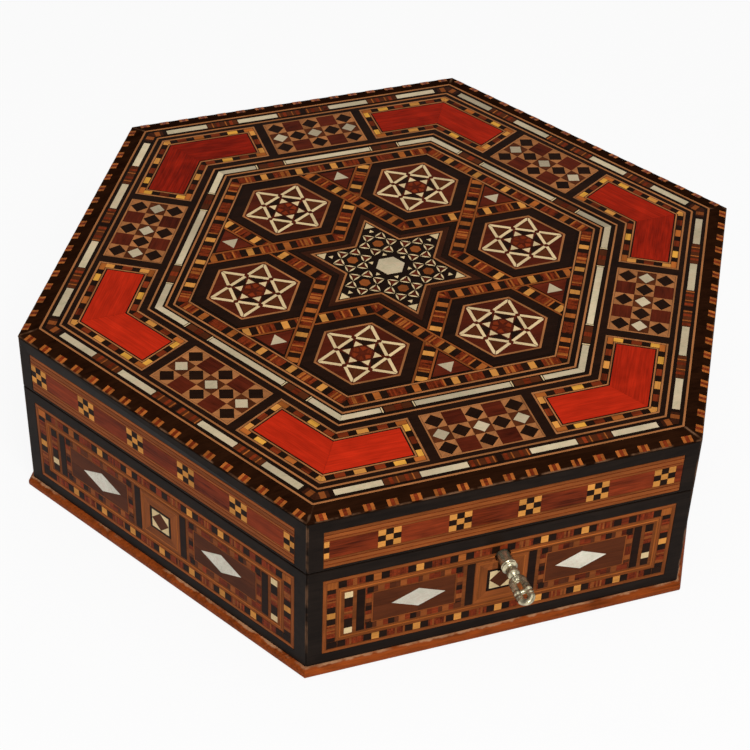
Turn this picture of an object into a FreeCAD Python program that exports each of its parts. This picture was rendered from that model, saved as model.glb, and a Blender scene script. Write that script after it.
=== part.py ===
"""Hexagonal inlaid wooden box with a hinged lid, a turning key and a sliding lock bolt.

Millimetres, +Z up. The origin is the centre of the underside, the key stands out of
the front towards -Y and the hinges are at the back, towards +Y.
"""
import FreeCAD, Part
import os
import Sketcher

SIDES = 6
SIDE_ANGLE = 360 // SIDES
SIDE_NAMES = ("front", "front_right", "back_right", "back", "back_left", "front_left")
BOW_TURN = -20                     # degrees from level, as the key stands in the lock
HANDS = (("left", "-"), ("right", ""))

DIMENSIONS = {
    # Carcass
    "box_apothem": 114.3,          # centre of the box to the outer face of a side
    "base_height": 4.4,
    "base_overhang": 1.6,
    "base_round": 1.8,
    "wall_height": 42.2,
    "lid_gap": 0.4,                # parting line between box and lid
    "lid_height": 23.0,
    "board_thickness": 8.0,
    "lid_board_thickness": 6.0,
    "veneer_thickness": 1.0,
    "inlay_thickness": 2.0,
    "lining_thickness": 1.0,
    "lining_gap": 0.3,
    "glue_line": 0.05,             # left open where two veneers or inlays meet at a mitre
    # Marquetry of the sides
    "corner_strip": 5.4,
    "wall_band_top": 4.5,
    "wall_band_bottom": 4.7,
    "lid_band_top": 4.7,
    "lid_band_bottom": 0.9,
    "rhombus_width": 18.2,
    "rhombus_height": 8.0,
    "rhombus_offset": 28.3,
    "centre_tile_width": 9.7,
    # Marquetry of the lid's top, from the edge inwards, as drawn for a box of this apothem
    "drawing_apothem": 114.3,
    "edge_width": 6.2,
    "edge_drop": 1.3,
    "outer_border_width": 6.8,
    "outer_pearl_length": 15.8,
    "outer_pearl_width": 3.0,
    "outer_pearl_near": 18.4,
    "outer_pearl_far": 46.6,
    "ring_outer_band": 1.65,
    "panel_depth": 21.25,
    "ring_inner_band": 2.5,
    "tile_width": 35.7,
    "divider_width": 3.5,
    "chevron_border_width": 4.05,
    "inner_border_width": 6.9,
    "inner_pearl_length": 33.2,
    "inner_pearl_width": 2.7,
    "corner_pearl_length": 13.4,
    "centre_border_width": 7.35,
    "strap_width": 6.6,
    "medallion_frame_width": 3.7,
    "star_frame_width": 3.85,
    "star_pearl_radius": 5.3,
    "pearl_triangle_side": 5.75,
    # Lock and key
    "keyhole_drop": 10.5,          # key axis below the wall's top edge
    "keyhole_radius": 2.75,
    "keyhole_slot_width": 2.8,
    "lock_width": 36.0,
    "lock_height": 24.0,
    "lock_depth": 5.0,
    "lock_plate": 1.0,
    "lock_flange": 6.0,
    "lock_fit": 0.15,
    "lock_pin_radius": 1.0,
    "lock_pin_length": 5.5,
    "bolt_width": 12.0,
    "bolt_thickness": 3.0,
    "bolt_foot_width": 20.0,
    "bolt_foot_height": 1.6,
    "bolt_travel": 5.0,
    "bolt_lift_gap": 2.6,          # bolt's lower edge above the key axis
    "bolt_recess": 0.3,
    "bolt_clearance": 0.5,
    "strike_width": 28.0,
    "strike_depth": 6.0,
    "strike_thickness": 1.0,
    "key_radius": 2.4,
    "key_bore_clearance": 0.08,
    "key_bore_length": 6.5,
    "key_end_gap": 0.3,
    "key_barrel_out": 4.6,         # plain barrel that shows outside the wall
    "key_ring_radius": 2.7,
    "key_ring_width": 0.6,
    "key_ring_gap": 0.3,
    "key_ball_radius": 2.2,
    "key_bow_width": 6.0,
    "key_bow_bar": 2.4,
    "key_bow_rail": 7.0,           # straight part of the bow's two sides
    "key_crossbar_radius": 0.9,
    "key_lobe_radius": 1.45,
    "key_bit_reach": 6.5,
    "key_bit_width": 3.0,
    "key_bit_thickness": 2.0,
    # Hinges and screws
    "hinge_spacing": 76.0,
    "hinge_width": 24.0,
    "hinge_offset": 2.3,           # hinge axis behind the back face
    "leaf_thickness": 0.6,
    "leaf_depth": 6.5,
    "knuckle_radius": 1.9,
    "knuckle_gap": 0.2,
    "hinge_pin_radius": 0.9,
    "hinge_pin_clearance": 0.05,
    "screw_radius": 0.7,
    "screw_head_radius": 1.4,
    "screw_head_height": 0.7,
    "screw_length": 6.0,
    "screw_spacing": 14.0,
}

doc = FreeCAD.newDocument("inlaid_box")
sheet = doc.addObject("Spreadsheet::Sheet", "dims")
for row, (alias, value) in enumerate(DIMENSIONS.items(), start=1):
    sheet.set(f"A{row}", alias)
    sheet.set(f"B{row}", str(value))
    sheet.setAlias(f"B{row}", alias)
doc.recompute()

pieces = []


# Levels and distances that several pieces share, as expressions on the sheet
def total(*terms):
    """Sum of sheet names; a leading minus subtracts one."""
    signed = [f"- dims.{term[1:]}" if term.startswith("-") else f"+ dims.{term}" for term in terms]
    return f"(0 {' '.join(signed)})"


def drawn(name):
    """A width of the top's drawing, fitted to the box."""
    return f"(dims.{name} * dims.box_apothem / dims.drawing_apothem)"


WALL_TOP = total("base_height", "wall_height")
LID_BOTTOM = total("base_height", "wall_height", "lid_gap")
LID_TOP = total("base_height", "wall_height", "lid_gap", "lid_height")
INLAY_BOTTOM = f"({LID_TOP} - dims.inlay_thickness)"
LID_BOARD_BOTTOM = f"({INLAY_BOTTOM} - dims.lid_board_thickness)"
RAIL_HEIGHT = f"({LID_BOARD_BOTTOM} - {LID_BOTTOM})"
LID_SIDE_HEIGHT = f"({INLAY_BOTTOM} - {LID_BOTTOM})"

FACE = "dims.box_apothem"
BOARD_OUTER = total("box_apothem", "-veneer_thickness")
BOARD_INNER = total("box_apothem", "-veneer_thickness", "-board_thickness")

TOP_EDGE = f"({FACE} - {drawn('edge_width')})"
RING_OUTER = f"({TOP_EDGE} - {drawn('outer_border_width')})"
PANEL_OUTER = f"({RING_OUTER} - {drawn('ring_outer_band')})"
PANEL_INNER = f"({PANEL_OUTER} - {drawn('panel_depth')})"
RING_INNER = f"({PANEL_INNER} - {drawn('ring_inner_band')})"
CENTRE_OUTER = f"({RING_INNER} - {drawn('inner_border_width')})"
CENTRE_INNER = f"({CENTRE_OUTER} - {drawn('centre_border_width')})"
# The straps run along the edges of six equal hexagons that fill the centre panel
MEDALLION_APOTHEM = f"(({CENTRE_INNER} - {drawn('strap_width')}) / 3)"
STRAP_LINE = f"({MEDALLION_APOTHEM} + {drawn('strap_width')} / 2)"

HALF_PANEL = "(dims.box_apothem * tan(30 deg) - dims.corner_strip)"
KEY_HEIGHT = f"({WALL_TOP} - dims.keyhole_drop)"
LOCK_BACK = f"({BOARD_INNER} + dims.lock_plate)"
LOCK_FRONT = f"({LOCK_BACK} + dims.lock_depth)"
BOLT_MIDDLE = f"({LOCK_BACK} + (dims.lock_depth - dims.lock_plate) / 2)"
BOLT_BOTTOM = f"({KEY_HEIGHT} + dims.bolt_lift_gap)"
HINGE_Y = total("box_apothem", "hinge_offset")
HINGE_Z = f"({WALL_TOP} + dims.lid_gap / 2)"


def half_side(apothem):
    """Half the length of a hexagon's side at this apothem."""
    return f"({apothem} * tan(30 deg))"


def mitre_end(apothem):
    """Where a veneer or inlay stops just short of the mitre with its neighbour."""
    return f"({apothem} * tan(30 deg) - dims.glue_line)"


def circumradius(apothem):
    return f"({apothem} / cos(30 deg))"


# Building blocks
def bind(item, **sizes):
    for name, expression in sizes.items():
        item.setExpression(name, expression)
    return item


def place(item, x="0", y="0", z="0", axis=(0, 0, 1), turn=0):
    """Put an item at a point given by expressions, turned about an axis."""
    rotation = FreeCAD.Rotation(FreeCAD.Vector(*axis), turn)
    item.Placement = FreeCAD.Placement(FreeCAD.Vector(), rotation)
    for letter, expression in zip("xyz", (x, y, z)):
        item.setExpression(f"Placement.Base.{letter}", expression)
    return item


def keep(item, label):
    """Name a finished sub-part, which becomes a file of the same name."""
    item.Label = label
    pieces.append(item)
    return item


def block(name, x, y, z):
    """Box between pairs of expressions for its low and high sides."""
    box = doc.addObject("Part::Box", name)
    bind(box, Length=f"{x[1]} - ({x[0]})", Width=f"{y[1]} - ({y[0]})", Height=f"{z[1]} - ({z[0]})")
    return place(box, x[0], y[0], z[0])


def rod(name, radius, length, x, y, z, axis=(0, 0, 1), turn=0):
    cylinder = doc.addObject("Part::Cylinder", name)
    bind(cylinder, Radius=radius, Height=length)
    return place(cylinder, x, y, z, axis, turn)


def hexagon_plate(name, apothem, height, z):
    prism = doc.addObject("Part::Prism", name)
    prism.Polygon = SIDES
    bind(prism, Circumradius=circumradius(apothem), Height=height)
    return place(prism, z=z)


def mitred_strip(name, outer, inner, outer_height, inner_height, z, turn):
    """Straight strip along one side of the hexagon, mitred to its neighbours."""
    wedge = doc.addObject("Part::Wedge", name)
    bind(wedge, Xmin=f"-{half_side(outer)}", Xmax=half_side(outer))
    bind(wedge, X2min=f"-{half_side(inner)}", X2max=half_side(inner))
    bind(wedge, Ymin=f"-{outer}", Ymax=f"-{inner}")
    bind(wedge, Zmin="0", Zmax=outer_height, Z2min="0", Z2max=inner_height)
    return place(wedge, z=z, turn=turn)


def cut(name, base, *tools):
    result = doc.addObject("Part::Cut", name)
    result.Base = base
    result.Tool = tools[0] if len(tools) == 1 else joined(f"{name}_tools", *tools)
    return result


def joined(name, *items):
    result = doc.addObject("Part::MultiFuse", name)
    result.Shapes = list(items)
    return result


def group(name, *items):
    """Separate solids that share one node."""
    result = doc.addObject("Part::Compound", name)
    result.Links = list(items)
    return result


# Sketched bodies
def origin_feature(body, role):
    return next(feature for feature in body.Origin.OriginFeatures if feature.Role == role)


def new_body(name):
    body = doc.addObject("PartDesign::Body", name)
    body.AllowCompound = True
    return body


def new_sketch(body, role, offset=None):
    sketch = body.newObject("Sketcher::SketchObject", f"{body.Name}_sketch")
    sketch.AttachmentSupport = [(origin_feature(body, role), "")]
    sketch.MapMode = "FlatFace"
    if offset:
        sketch.setExpression("AttachmentOffset.Base.z", offset)
    return sketch


def outline(sketch, corners):
    """Closed run of straight lines through corners given as pairs of expressions."""
    first = sketch.GeometryCount
    count = len(corners)
    for index in range(count):
        start = FreeCAD.Vector(index, index * index, 0)
        end = FreeCAD.Vector(index + 1, (index + 1) ** 2, 0)
        sketch.addGeometry(Part.LineSegment(start, end), False)
    for index in range(count):
        following = first + (index + 1) % count
        sketch.addConstraint(Sketcher.Constraint("Coincident", first + index, 2, following, 1))
    for index, corner in enumerate(corners):
        for kind, expression in zip(("DistanceX", "DistanceY"), corner):
            number = sketch.addConstraint(Sketcher.Constraint(kind, -1, 1, first + index, 1, 1.0))
            sketch.setExpression(f"Constraints[{number}]", expression)


def finish_with(body, feature):
    body.Tip = feature
    return feature


def pad(body, sketch, length, midplane=False):
    feature = body.newObject("PartDesign::Pad", f"{body.Name}_pad")
    feature.Profile = sketch
    feature.Midplane = midplane
    bind(feature, Length=length)
    return finish_with(body, feature)


def round_the_box(body, *features):
    """Repeat features of the front side on all six sides."""
    pattern = body.newObject("PartDesign::PolarPattern", f"{body.Name}_sides")
    pattern.Originals = list(features)
    pattern.Axis = (origin_feature(body, "Z_Axis"), [""])
    pattern.Angle = 360
    pattern.Occurrences = SIDES
    return finish_with(body, pattern)


def top_inlay(name, outlines, repeat=True):
    """Flush inlay of the lid's top, drawn for the front side and repeated on all."""
    body = new_body(name)
    sketch = new_sketch(body, "XY_Plane")
    for corners in outlines:
        outline(sketch, corners)
    feature = pad(body, sketch, "dims.inlay_thickness")
    if repeat:
        round_the_box(body, feature)
    return place(body, z=INLAY_BOTTOM)


def side_inlay(name, outlines, z):
    """Flush inlay of the six sides, drawn on the front face with z as its zero height."""
    body = new_body(name)
    sketch = new_sketch(body, "XZ_Plane", BOARD_OUTER)
    for corners in outlines:
        outline(sketch, corners)
    feature = pad(body, sketch, "dims.veneer_thickness")
    round_the_box(body, feature)
    return place(body, z=z)


def rectangle(x, y):
    return [(x[0], y[0]), (x[1], y[0]), (x[1], y[1]), (x[0], y[1])]


def hexagon(apothem):
    radius = circumradius(apothem)
    angles = range(0, 360, SIDE_ANGLE)
    return [(f"{radius} * cos({angle} deg)", f"{radius} * sin({angle} deg)") for angle in angles]


def hexagram(line):
    """Six-pointed star whose edges lie on lines at this distance from its centre."""
    corners = []
    for angle in range(0, 360, SIDE_ANGLE):
        tip = angle + SIDE_ANGLE // 2
        hollow = circumradius(line)
        corners.append((f"{hollow} * cos({angle} deg)", f"{hollow} * sin({angle} deg)"))
        corners.append((f"2 * {line} * cos({tip} deg)", f"2 * {line} * sin({tip} deg)"))
    return corners


def next_side(x, y):
    """A point of the front side's drawing, moved on to the front right side."""
    return (
        f"({x}) * cos({SIDE_ANGLE} deg) - ({y}) * sin({SIDE_ANGLE} deg)",
        f"({x}) * sin({SIDE_ANGLE} deg) + ({y}) * cos({SIDE_ANGLE} deg)",
    )


# Carcass of the box
def make_base_board():
    body = new_body("base_board")
    sketch = new_sketch(body, "XY_Plane")
    outline(sketch, hexagon(total("box_apothem", "base_overhang")))
    board = pad(body, sketch, "dims.base_height")
    doc.recompute()
    level_edges = [
        f"Edge{number}"
        for number, edge in enumerate(board.Shape.Edges, start=1)
        if abs(edge.Vertexes[0].Z - edge.Vertexes[1].Z) < 1e-6
    ]
    rounding = body.newObject("PartDesign::Fillet", "base_board_rounding")
    rounding.Base = (board, level_edges)
    bind(rounding, Radius="dims.base_round")
    finish_with(body, rounding)
    keep(body, "base_board")


def make_boards():
    """Six wall boards and six lid rails, with the cuts for lock and hinges."""
    wall_cuts = {"front": [lock_recess, keyhole, lock_screws], "back": [box_mortise, box_screws]}
    rail_cuts = {"front": [strike_recess, strike_screws], "back": [lid_mortise, lid_screws]}
    rows = (
        ("wall", "dims.wall_height", "dims.base_height", wall_cuts),
        ("lid_rail", RAIL_HEIGHT, LID_BOTTOM, rail_cuts),
    )
    for kind, height, bottom, cuts in rows:
        for number, side in enumerate(SIDE_NAMES):
            name = f"{kind}_{side}"
            turn = number * SIDE_ANGLE
            board = mitred_strip(f"{name}_board", BOARD_OUTER, BOARD_INNER, height, height, bottom, turn)
            tools = cuts.get(side)
            keep(cut(name, board, *tools) if tools else board, name)


def make_lid_board():
    board = hexagon_plate("lid_top_board", BOARD_OUTER, "dims.lid_board_thickness", LID_BOARD_BOTTOM)
    keep(board, "lid_top_board")


def make_linings():
    lining = f"({BOARD_INNER} - dims.lining_gap)"
    floor = hexagon_plate("floor_lining", lining, "dims.lining_thickness", "dims.base_height")
    lid_level = f"{LID_BOARD_BOTTOM} - dims.lining_thickness"
    ceiling = hexagon_plate("lid_lining", lining, "dims.lining_thickness", lid_level)
    keep(floor, "floor_lining")
    keep(ceiling, "lid_lining")


# Marquetry of the sides
def veneer_frame(name, height, z, window):
    """Six mitred ebony veneers with a window each, as one body."""
    body = new_body(name)
    sketch = new_sketch(body, "XY_Plane")
    outer_half = mitre_end(FACE)
    inner_half = mitre_end(BOARD_OUTER)
    corners = [
        (f"-{outer_half}", f"-{FACE}"),
        (outer_half, f"-{FACE}"),
        (inner_half, f"-{BOARD_OUTER}"),
        (f"-{inner_half}", f"-{BOARD_OUTER}"),
    ]
    outline(sketch, corners)
    sheet_of_ebony = pad(body, sketch, height)
    opening = new_sketch(body, "XZ_Plane", BOARD_OUTER)
    outline(opening, window)
    pocket = body.newObject("PartDesign::Pocket", f"{name}_window")
    pocket.Profile = opening
    pocket.Reversed = True
    bind(pocket, Length="dims.veneer_thickness")
    finish_with(body, pocket)
    round_the_box(body, sheet_of_ebony, pocket)
    return place(body, z=z)


def make_side_marquetry():
    across = (f"-{HALF_PANEL}", HALF_PANEL)
    wall_span = ("dims.wall_band_bottom", "dims.wall_height - dims.wall_band_top")
    lid_span = ("dims.lid_band_bottom", f"{LID_SIDE_HEIGHT} - dims.lid_band_top")
    wall_window = rectangle(across, wall_span)
    lid_window = rectangle(across, lid_span)
    middle = f"({wall_span[0]} + {wall_span[1]}) / 2"

    wall_frames = veneer_frame("wall_frame_veneers", "dims.wall_height", "dims.base_height", wall_window)
    lid_frames = veneer_frame("lid_frame_veneers", LID_SIDE_HEIGHT, LID_BOTTOM, lid_window)
    keep(cut("wall_frames", wall_frames, box_mortise), "wall_frames")
    keep(cut("lid_frames", lid_frames, lid_mortise), "lid_frames")

    rhombi = []
    for sign in ("-", ""):
        centre = f"{sign}dims.rhombus_offset"
        rhombi.append([
            (f"{centre} - dims.rhombus_width / 2", middle),
            (centre, f"{middle} - dims.rhombus_height / 2"),
            (f"{centre} + dims.rhombus_width / 2", middle),
            (centre, f"{middle} + dims.rhombus_height / 2"),
        ])
    half_tile = "dims.centre_tile_width / 2"
    tile = rectangle((f"-{half_tile}", half_tile), (f"{middle} - {half_tile}", f"{middle} + {half_tile}"))

    panels = side_inlay("wall_panel_veneers", [wall_window, *rhombi, tile], "dims.base_height")
    keep(cut("wall_panels", panels, keyhole), "wall_panels")
    keep(side_inlay("wall_rhombi", rhombi, "dims.base_height"), "wall_rhombi")
    tiles = side_inlay("wall_centre_tile_veneers", [tile], "dims.base_height")
    keep(cut("wall_centre_tiles", tiles, keyhole), "wall_centre_tiles")
    friezes = side_inlay("lid_frieze_veneers", [lid_window], LID_BOTTOM)
    keep(cut("lid_friezes", friezes, lid_mortise), "lid_friezes")


# Marquetry of the lid's top
def make_lid_edge():
    outer_height = "dims.inlay_thickness - dims.edge_drop"
    strips = [
        mitred_strip(f"edge_strip_{side}", FACE, TOP_EDGE, outer_height, "dims.inlay_thickness",
                     INLAY_BOTTOM, number * SIDE_ANGLE)
        for number, side in enumerate(SIDE_NAMES)
    ]
    keep(group("lid_edge_strips", *strips), "lid_edge_strips")


def mitred_pair(start, outer, inner, end):
    """Two strips that run from both sides of the middle out to the mitres."""
    return [
        [
            (f"{sign}{start}", f"-{outer}"),
            (f"{sign}{end(outer)}", f"-{outer}"),
            (f"{sign}{end(inner)}", f"-{inner}"),
            (f"{sign}{start}", f"-{inner}"),
        ]
        for sign in ("-", "")
    ]


def ring_ground(name, outer, inner, *inlays):
    """Hexagonal ring of ground wood with its inlays let through it."""
    ring = top_inlay(f"{name}_ring", [hexagon(outer), hexagon(inner)], repeat=False)
    keep(cut(name, ring, *inlays), name)


def make_pearl_borders():
    middle = f"({TOP_EDGE} - {drawn('outer_border_width')} / 2)"
    half_width = f"{drawn('outer_pearl_width')} / 2"
    depth = (f"-{middle} - {half_width}", f"-{middle} + {half_width}")
    half_length = f"{drawn('outer_pearl_length')} / 2"
    strips = []
    for distance in (drawn("outer_pearl_near"), drawn("outer_pearl_far")):
        for centre in (f"-{distance}", distance):
            across = (f"{centre} - {half_length}", f"{centre} + {half_length}")
            strips.append(rectangle(across, depth))
    outer = keep(top_inlay("outer_pearl_strips", strips), "outer_pearl_strips")
    ring_ground("outer_border", TOP_EDGE, RING_OUTER, outer)

    middle = f"({RING_INNER} - {drawn('inner_border_width')} / 2)"
    far = f"({middle} + {drawn('inner_pearl_width')} / 2)"
    near = f"({middle} - {drawn('inner_pearl_width')} / 2)"
    half_length = f"{drawn('inner_pearl_length')} / 2"
    corner_start = f"({half_side(middle)} - {drawn('corner_pearl_length')})"
    centre_strip = rectangle((f"-{half_length}", half_length), (f"-{far}", f"-{near}"))
    corner_strips = mitred_pair(corner_start, far, near, mitre_end)
    inner = keep(top_inlay("inner_pearl_strips", [centre_strip, *corner_strips]), "inner_pearl_strips")
    corner_windows = mitred_pair(corner_start, far, near, half_side)
    windows = top_inlay("inner_pearl_windows", [centre_strip, *corner_windows])
    ring_ground("inner_border", RING_INNER, CENTRE_OUTER, windows)


def make_panel_ring():
    half_tile = f"{drawn('tile_width')} / 2"
    tile = rectangle((f"-{half_tile}", half_tile), (f"-{PANEL_OUTER}", f"-{PANEL_INNER}"))
    tiles = keep(top_inlay("chequer_tiles", [tile]), "chequer_tiles")

    chevron_end = f"({half_tile} + {drawn('divider_width')})"
    red_end = f"({chevron_end} + {drawn('chevron_border_width')})"
    red_outer = f"({PANEL_OUTER} - {drawn('chevron_border_width')})"
    red_inner = f"({PANEL_INNER} + {drawn('chevron_border_width')})"
    halves = mitred_pair(red_end, red_outer, red_inner, mitre_end)
    keep(top_inlay("chevron_panels", halves), "chevron_panels")

    def bent(end, outer, inner):
        """Chevron round the corner between the front and front right sides."""
        return [
            (end, f"-{outer}"),
            (half_side(outer), f"-{outer}"),
            next_side(f"-{end}", f"-{outer}"),
            next_side(f"-{end}", f"-{inner}"),
            (half_side(inner), f"-{inner}"),
            (end, f"-{inner}"),
        ]

    whole_chevron = bent(chevron_end, PANEL_OUTER, PANEL_INNER)
    red_window = bent(red_end, red_outer, red_inner)
    keep(top_inlay("chevron_borders", [whole_chevron, red_window]), "chevron_borders")
    windows = top_inlay("chevron_windows", [whole_chevron])
    ring_ground("panel_ring", RING_OUTER, RING_INNER, tiles, windows)


def make_centre_panel():
    ring_radius = f"(2 * {STRAP_LINE} / sin(60 deg))"
    tile_apothem = f"({MEDALLION_APOTHEM} - {drawn('medallion_frame_width')})"

    def medallion(apothem):
        return [(f"{x} + {ring_radius}", y) for x, y in hexagon(apothem)]

    frame_outlines = [medallion(MEDALLION_APOTHEM), medallion(tile_apothem)]
    frames = keep(top_inlay("medallion_frames", frame_outlines), "medallion_frames")
    tiles = keep(top_inlay("medallion_tiles", [medallion(tile_apothem)]), "medallion_tiles")

    star_line = f"({MEDALLION_APOTHEM} - {drawn('star_frame_width')})"
    pearl = hexagon(f"({drawn('star_pearl_radius')} * cos(30 deg))")
    star = hexagram(star_line)
    star_outlines = [hexagram(MEDALLION_APOTHEM), star]
    star_frame = keep(top_inlay("star_frame", star_outlines, repeat=False), "star_frame")
    star_tile = keep(top_inlay("star_tile", [star, pearl], repeat=False), "star_tile")
    star_pearl = keep(top_inlay("star_pearl", [pearl], repeat=False), "star_pearl")

    apex = f"(2 * {STRAP_LINE} + {drawn('strap_width')})"
    field_height = f"({CENTRE_INNER} - {apex})"
    half_base = half_side(field_height)
    field = [
        (f"-{half_base}", f"-{CENTRE_INNER}"),
        (half_base, f"-{CENTRE_INNER}"),
        ("0", f"-{apex}"),
    ]
    middle = f"({CENTRE_INNER} - {field_height} / 3)"
    reach = f"({drawn('pearl_triangle_side')} / sqrt(3))"
    pearl_base = f"-{middle} + {reach} / 2"
    half_pearl = f"{drawn('pearl_triangle_side')} / 2"
    pearl_corners = [
        ("0", f"-{middle} - {reach}"),
        (half_pearl, pearl_base),
        (f"-{half_pearl}", pearl_base),
    ]
    fields = keep(top_inlay("field_triangles", [field, pearl_corners]), "field_triangles")
    pearls = keep(top_inlay("pearl_triangles", [pearl_corners]), "pearl_triangles")

    ground = top_inlay("strapwork_ground", [hexagon(CENTRE_OUTER)], repeat=False)
    inlays = (frames, tiles, star_frame, star_tile, star_pearl, fields, pearls)
    keep(cut("strapwork", ground, *inlays), "strapwork")


# Screws, lock and hinges
def screw(name, x, y, z, axis=(0, 0, 1), turn=0):
    """Countersunk screw that points away from its head along the turned Z axis."""
    head = doc.addObject("Part::Cone", f"{name}_head")
    bind(head, Radius1="dims.screw_head_radius", Radius2="dims.screw_radius")
    bind(head, Height="dims.screw_head_height")
    place(head, x, y, z, axis, turn)
    shank = rod(f"{name}_shank", "dims.screw_radius", "dims.screw_length", x, y, z, axis, turn)
    return joined(name, head, shank)


def hinge_screws(name, z, turn):
    y = f"{FACE} - dims.leaf_depth / 2"
    screws = []
    for side, sign in HANDS:
        for place_name, inner in (("outer", "+"), ("inner", "-")):
            x = f"{sign}(dims.hinge_spacing / 2 {inner} dims.screw_spacing / 2)"
            screws.append(screw(f"{name}_{side}_{place_name}", x, y, z, (1, 0, 0), turn))
    return group(name, *screws)


def hinge_mortises(name, z):
    y = (f"{FACE} - dims.leaf_depth", FACE)
    boxes = []
    for side, sign in HANDS:
        centre = f"{sign}dims.hinge_spacing / 2"
        across = (f"{centre} - dims.hinge_width / 2", f"{centre} + dims.hinge_width / 2")
        boxes.append(block(f"{name}_{side}", across, y, z))
    return group(name, *boxes)


def hinge_rod(name, radius, length, x):
    """Cylinder along the hinge axis that starts at x."""
    return rod(name, radius, length, x, HINGE_Y, HINGE_Z, (0, 1, 0), 90)


def hinge_leaf(name, centre, z, spans, screws):
    """Leaf let into an edge, with its knuckles round the hinge axis."""
    across = (f"{centre} - dims.hinge_width / 2", f"{centre} + dims.hinge_width / 2")
    solids = [block(f"{name}_plate", across, (f"{FACE} - dims.leaf_depth", FACE), z)]
    for number, (start, end) in enumerate(spans):
        low = f"{centre} + {start}"
        high = f"{centre} + {end}"
        solids.append(block(f"{name}_tab_{number}", (low, high), (FACE, HINGE_Y), z))
        length = f"{end} - ({start})"
        solids.append(hinge_rod(f"{name}_knuckle_{number}", "dims.knuckle_radius", length, low))
    bore_radius = "dims.hinge_pin_radius + dims.hinge_pin_clearance"
    bore = hinge_rod(f"{name}_bore", bore_radius, "dims.hinge_width", across[0])
    return cut(name, joined(f"{name}_solid", *solids), bore, screws)


def make_hinges():
    half = "dims.hinge_width / 2"
    middle_half = "dims.hinge_width / 6"
    inner_end = f"({middle_half} + dims.knuckle_gap)"
    outer_spans = ((f"-{half}", f"-{inner_end}"), (inner_end, half))
    middle_span = ((f"-{middle_half}", middle_half),)
    box_leaves = []
    lid_leaves = []
    pins = []
    for side, sign in HANDS:
        centre = f"{sign}dims.hinge_spacing / 2"
        box_leaves.append(hinge_leaf(f"box_leaf_{side}", centre, BOX_LEAF_SPAN, outer_spans, box_screws))
        lid_leaves.append(hinge_leaf(f"lid_leaf_{side}", centre, LID_LEAF_SPAN, middle_span, lid_screws))
        start = f"{centre} - {half}"
        pins.append(hinge_rod(f"hinge_pin_{side}", "dims.hinge_pin_radius", "dims.hinge_width", start))
    keep(group("hinge_leaves_box", *box_leaves), "hinge_leaves_box")
    keep(group("hinge_leaves_lid", *lid_leaves), "hinge_leaves_lid")
    keep(group("hinge_pins", *pins), "hinge_pins")


def key_rod(name, radius, length, start):
    """Cylinder along the key's axis, from a distance behind the front outwards."""
    return rod(name, radius, length, "0", f"-{start}", KEY_HEIGHT, (1, 0, 0), 90)


def make_keyhole():
    """Round hole with a slot below it, through veneer, wall and lock plate."""
    length = f"{FACE} - {LOCK_BACK}"
    round_hole = key_rod("keyhole_round", "dims.keyhole_radius", length, LOCK_BACK)
    half = "dims.keyhole_slot_width / 2"
    slot_bottom = f"{KEY_HEIGHT} - dims.key_bit_reach - dims.bolt_clearance"
    through = (f"-{FACE}", f"-{LOCK_BACK}")
    slot = block("keyhole_slot", (f"-{half}", half), through, (slot_bottom, KEY_HEIGHT))
    return joined("keyhole", round_hole, slot)


def make_lock_recess():
    """Mortise for the lock case and the shallow seat for its cover."""
    half = "dims.lock_width / 2"
    bottom = f"{WALL_TOP} - dims.lock_height"
    height = (f"{bottom} - dims.lock_fit", WALL_TOP)
    narrow = f"({half} + dims.lock_fit)"
    wide = f"({half} + dims.lock_flange + dims.lock_fit)"
    mortise_depth = (f"-{LOCK_FRONT} - dims.lock_fit", f"-{LOCK_BACK}")
    mortise = block("lock_mortise", (f"-{narrow}", narrow), mortise_depth, height)
    seat = block("cover_seat", (f"-{wide}", wide), (f"-{LOCK_BACK}", f"-{BOARD_INNER}"), height)
    return joined("lock_recess", mortise, seat)


def bolt_way(name, z):
    """Clear space round the bolt's path."""
    half_width = "(dims.bolt_width / 2 + dims.bolt_clearance)"
    half_depth = "(dims.bolt_thickness / 2 + dims.bolt_clearance / 2)"
    across = (f"-{half_width}", half_width)
    return block(name, across, (f"-{BOLT_MIDDLE} - {half_depth}", f"-{BOLT_MIDDLE} + {half_depth}"), z)


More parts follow.
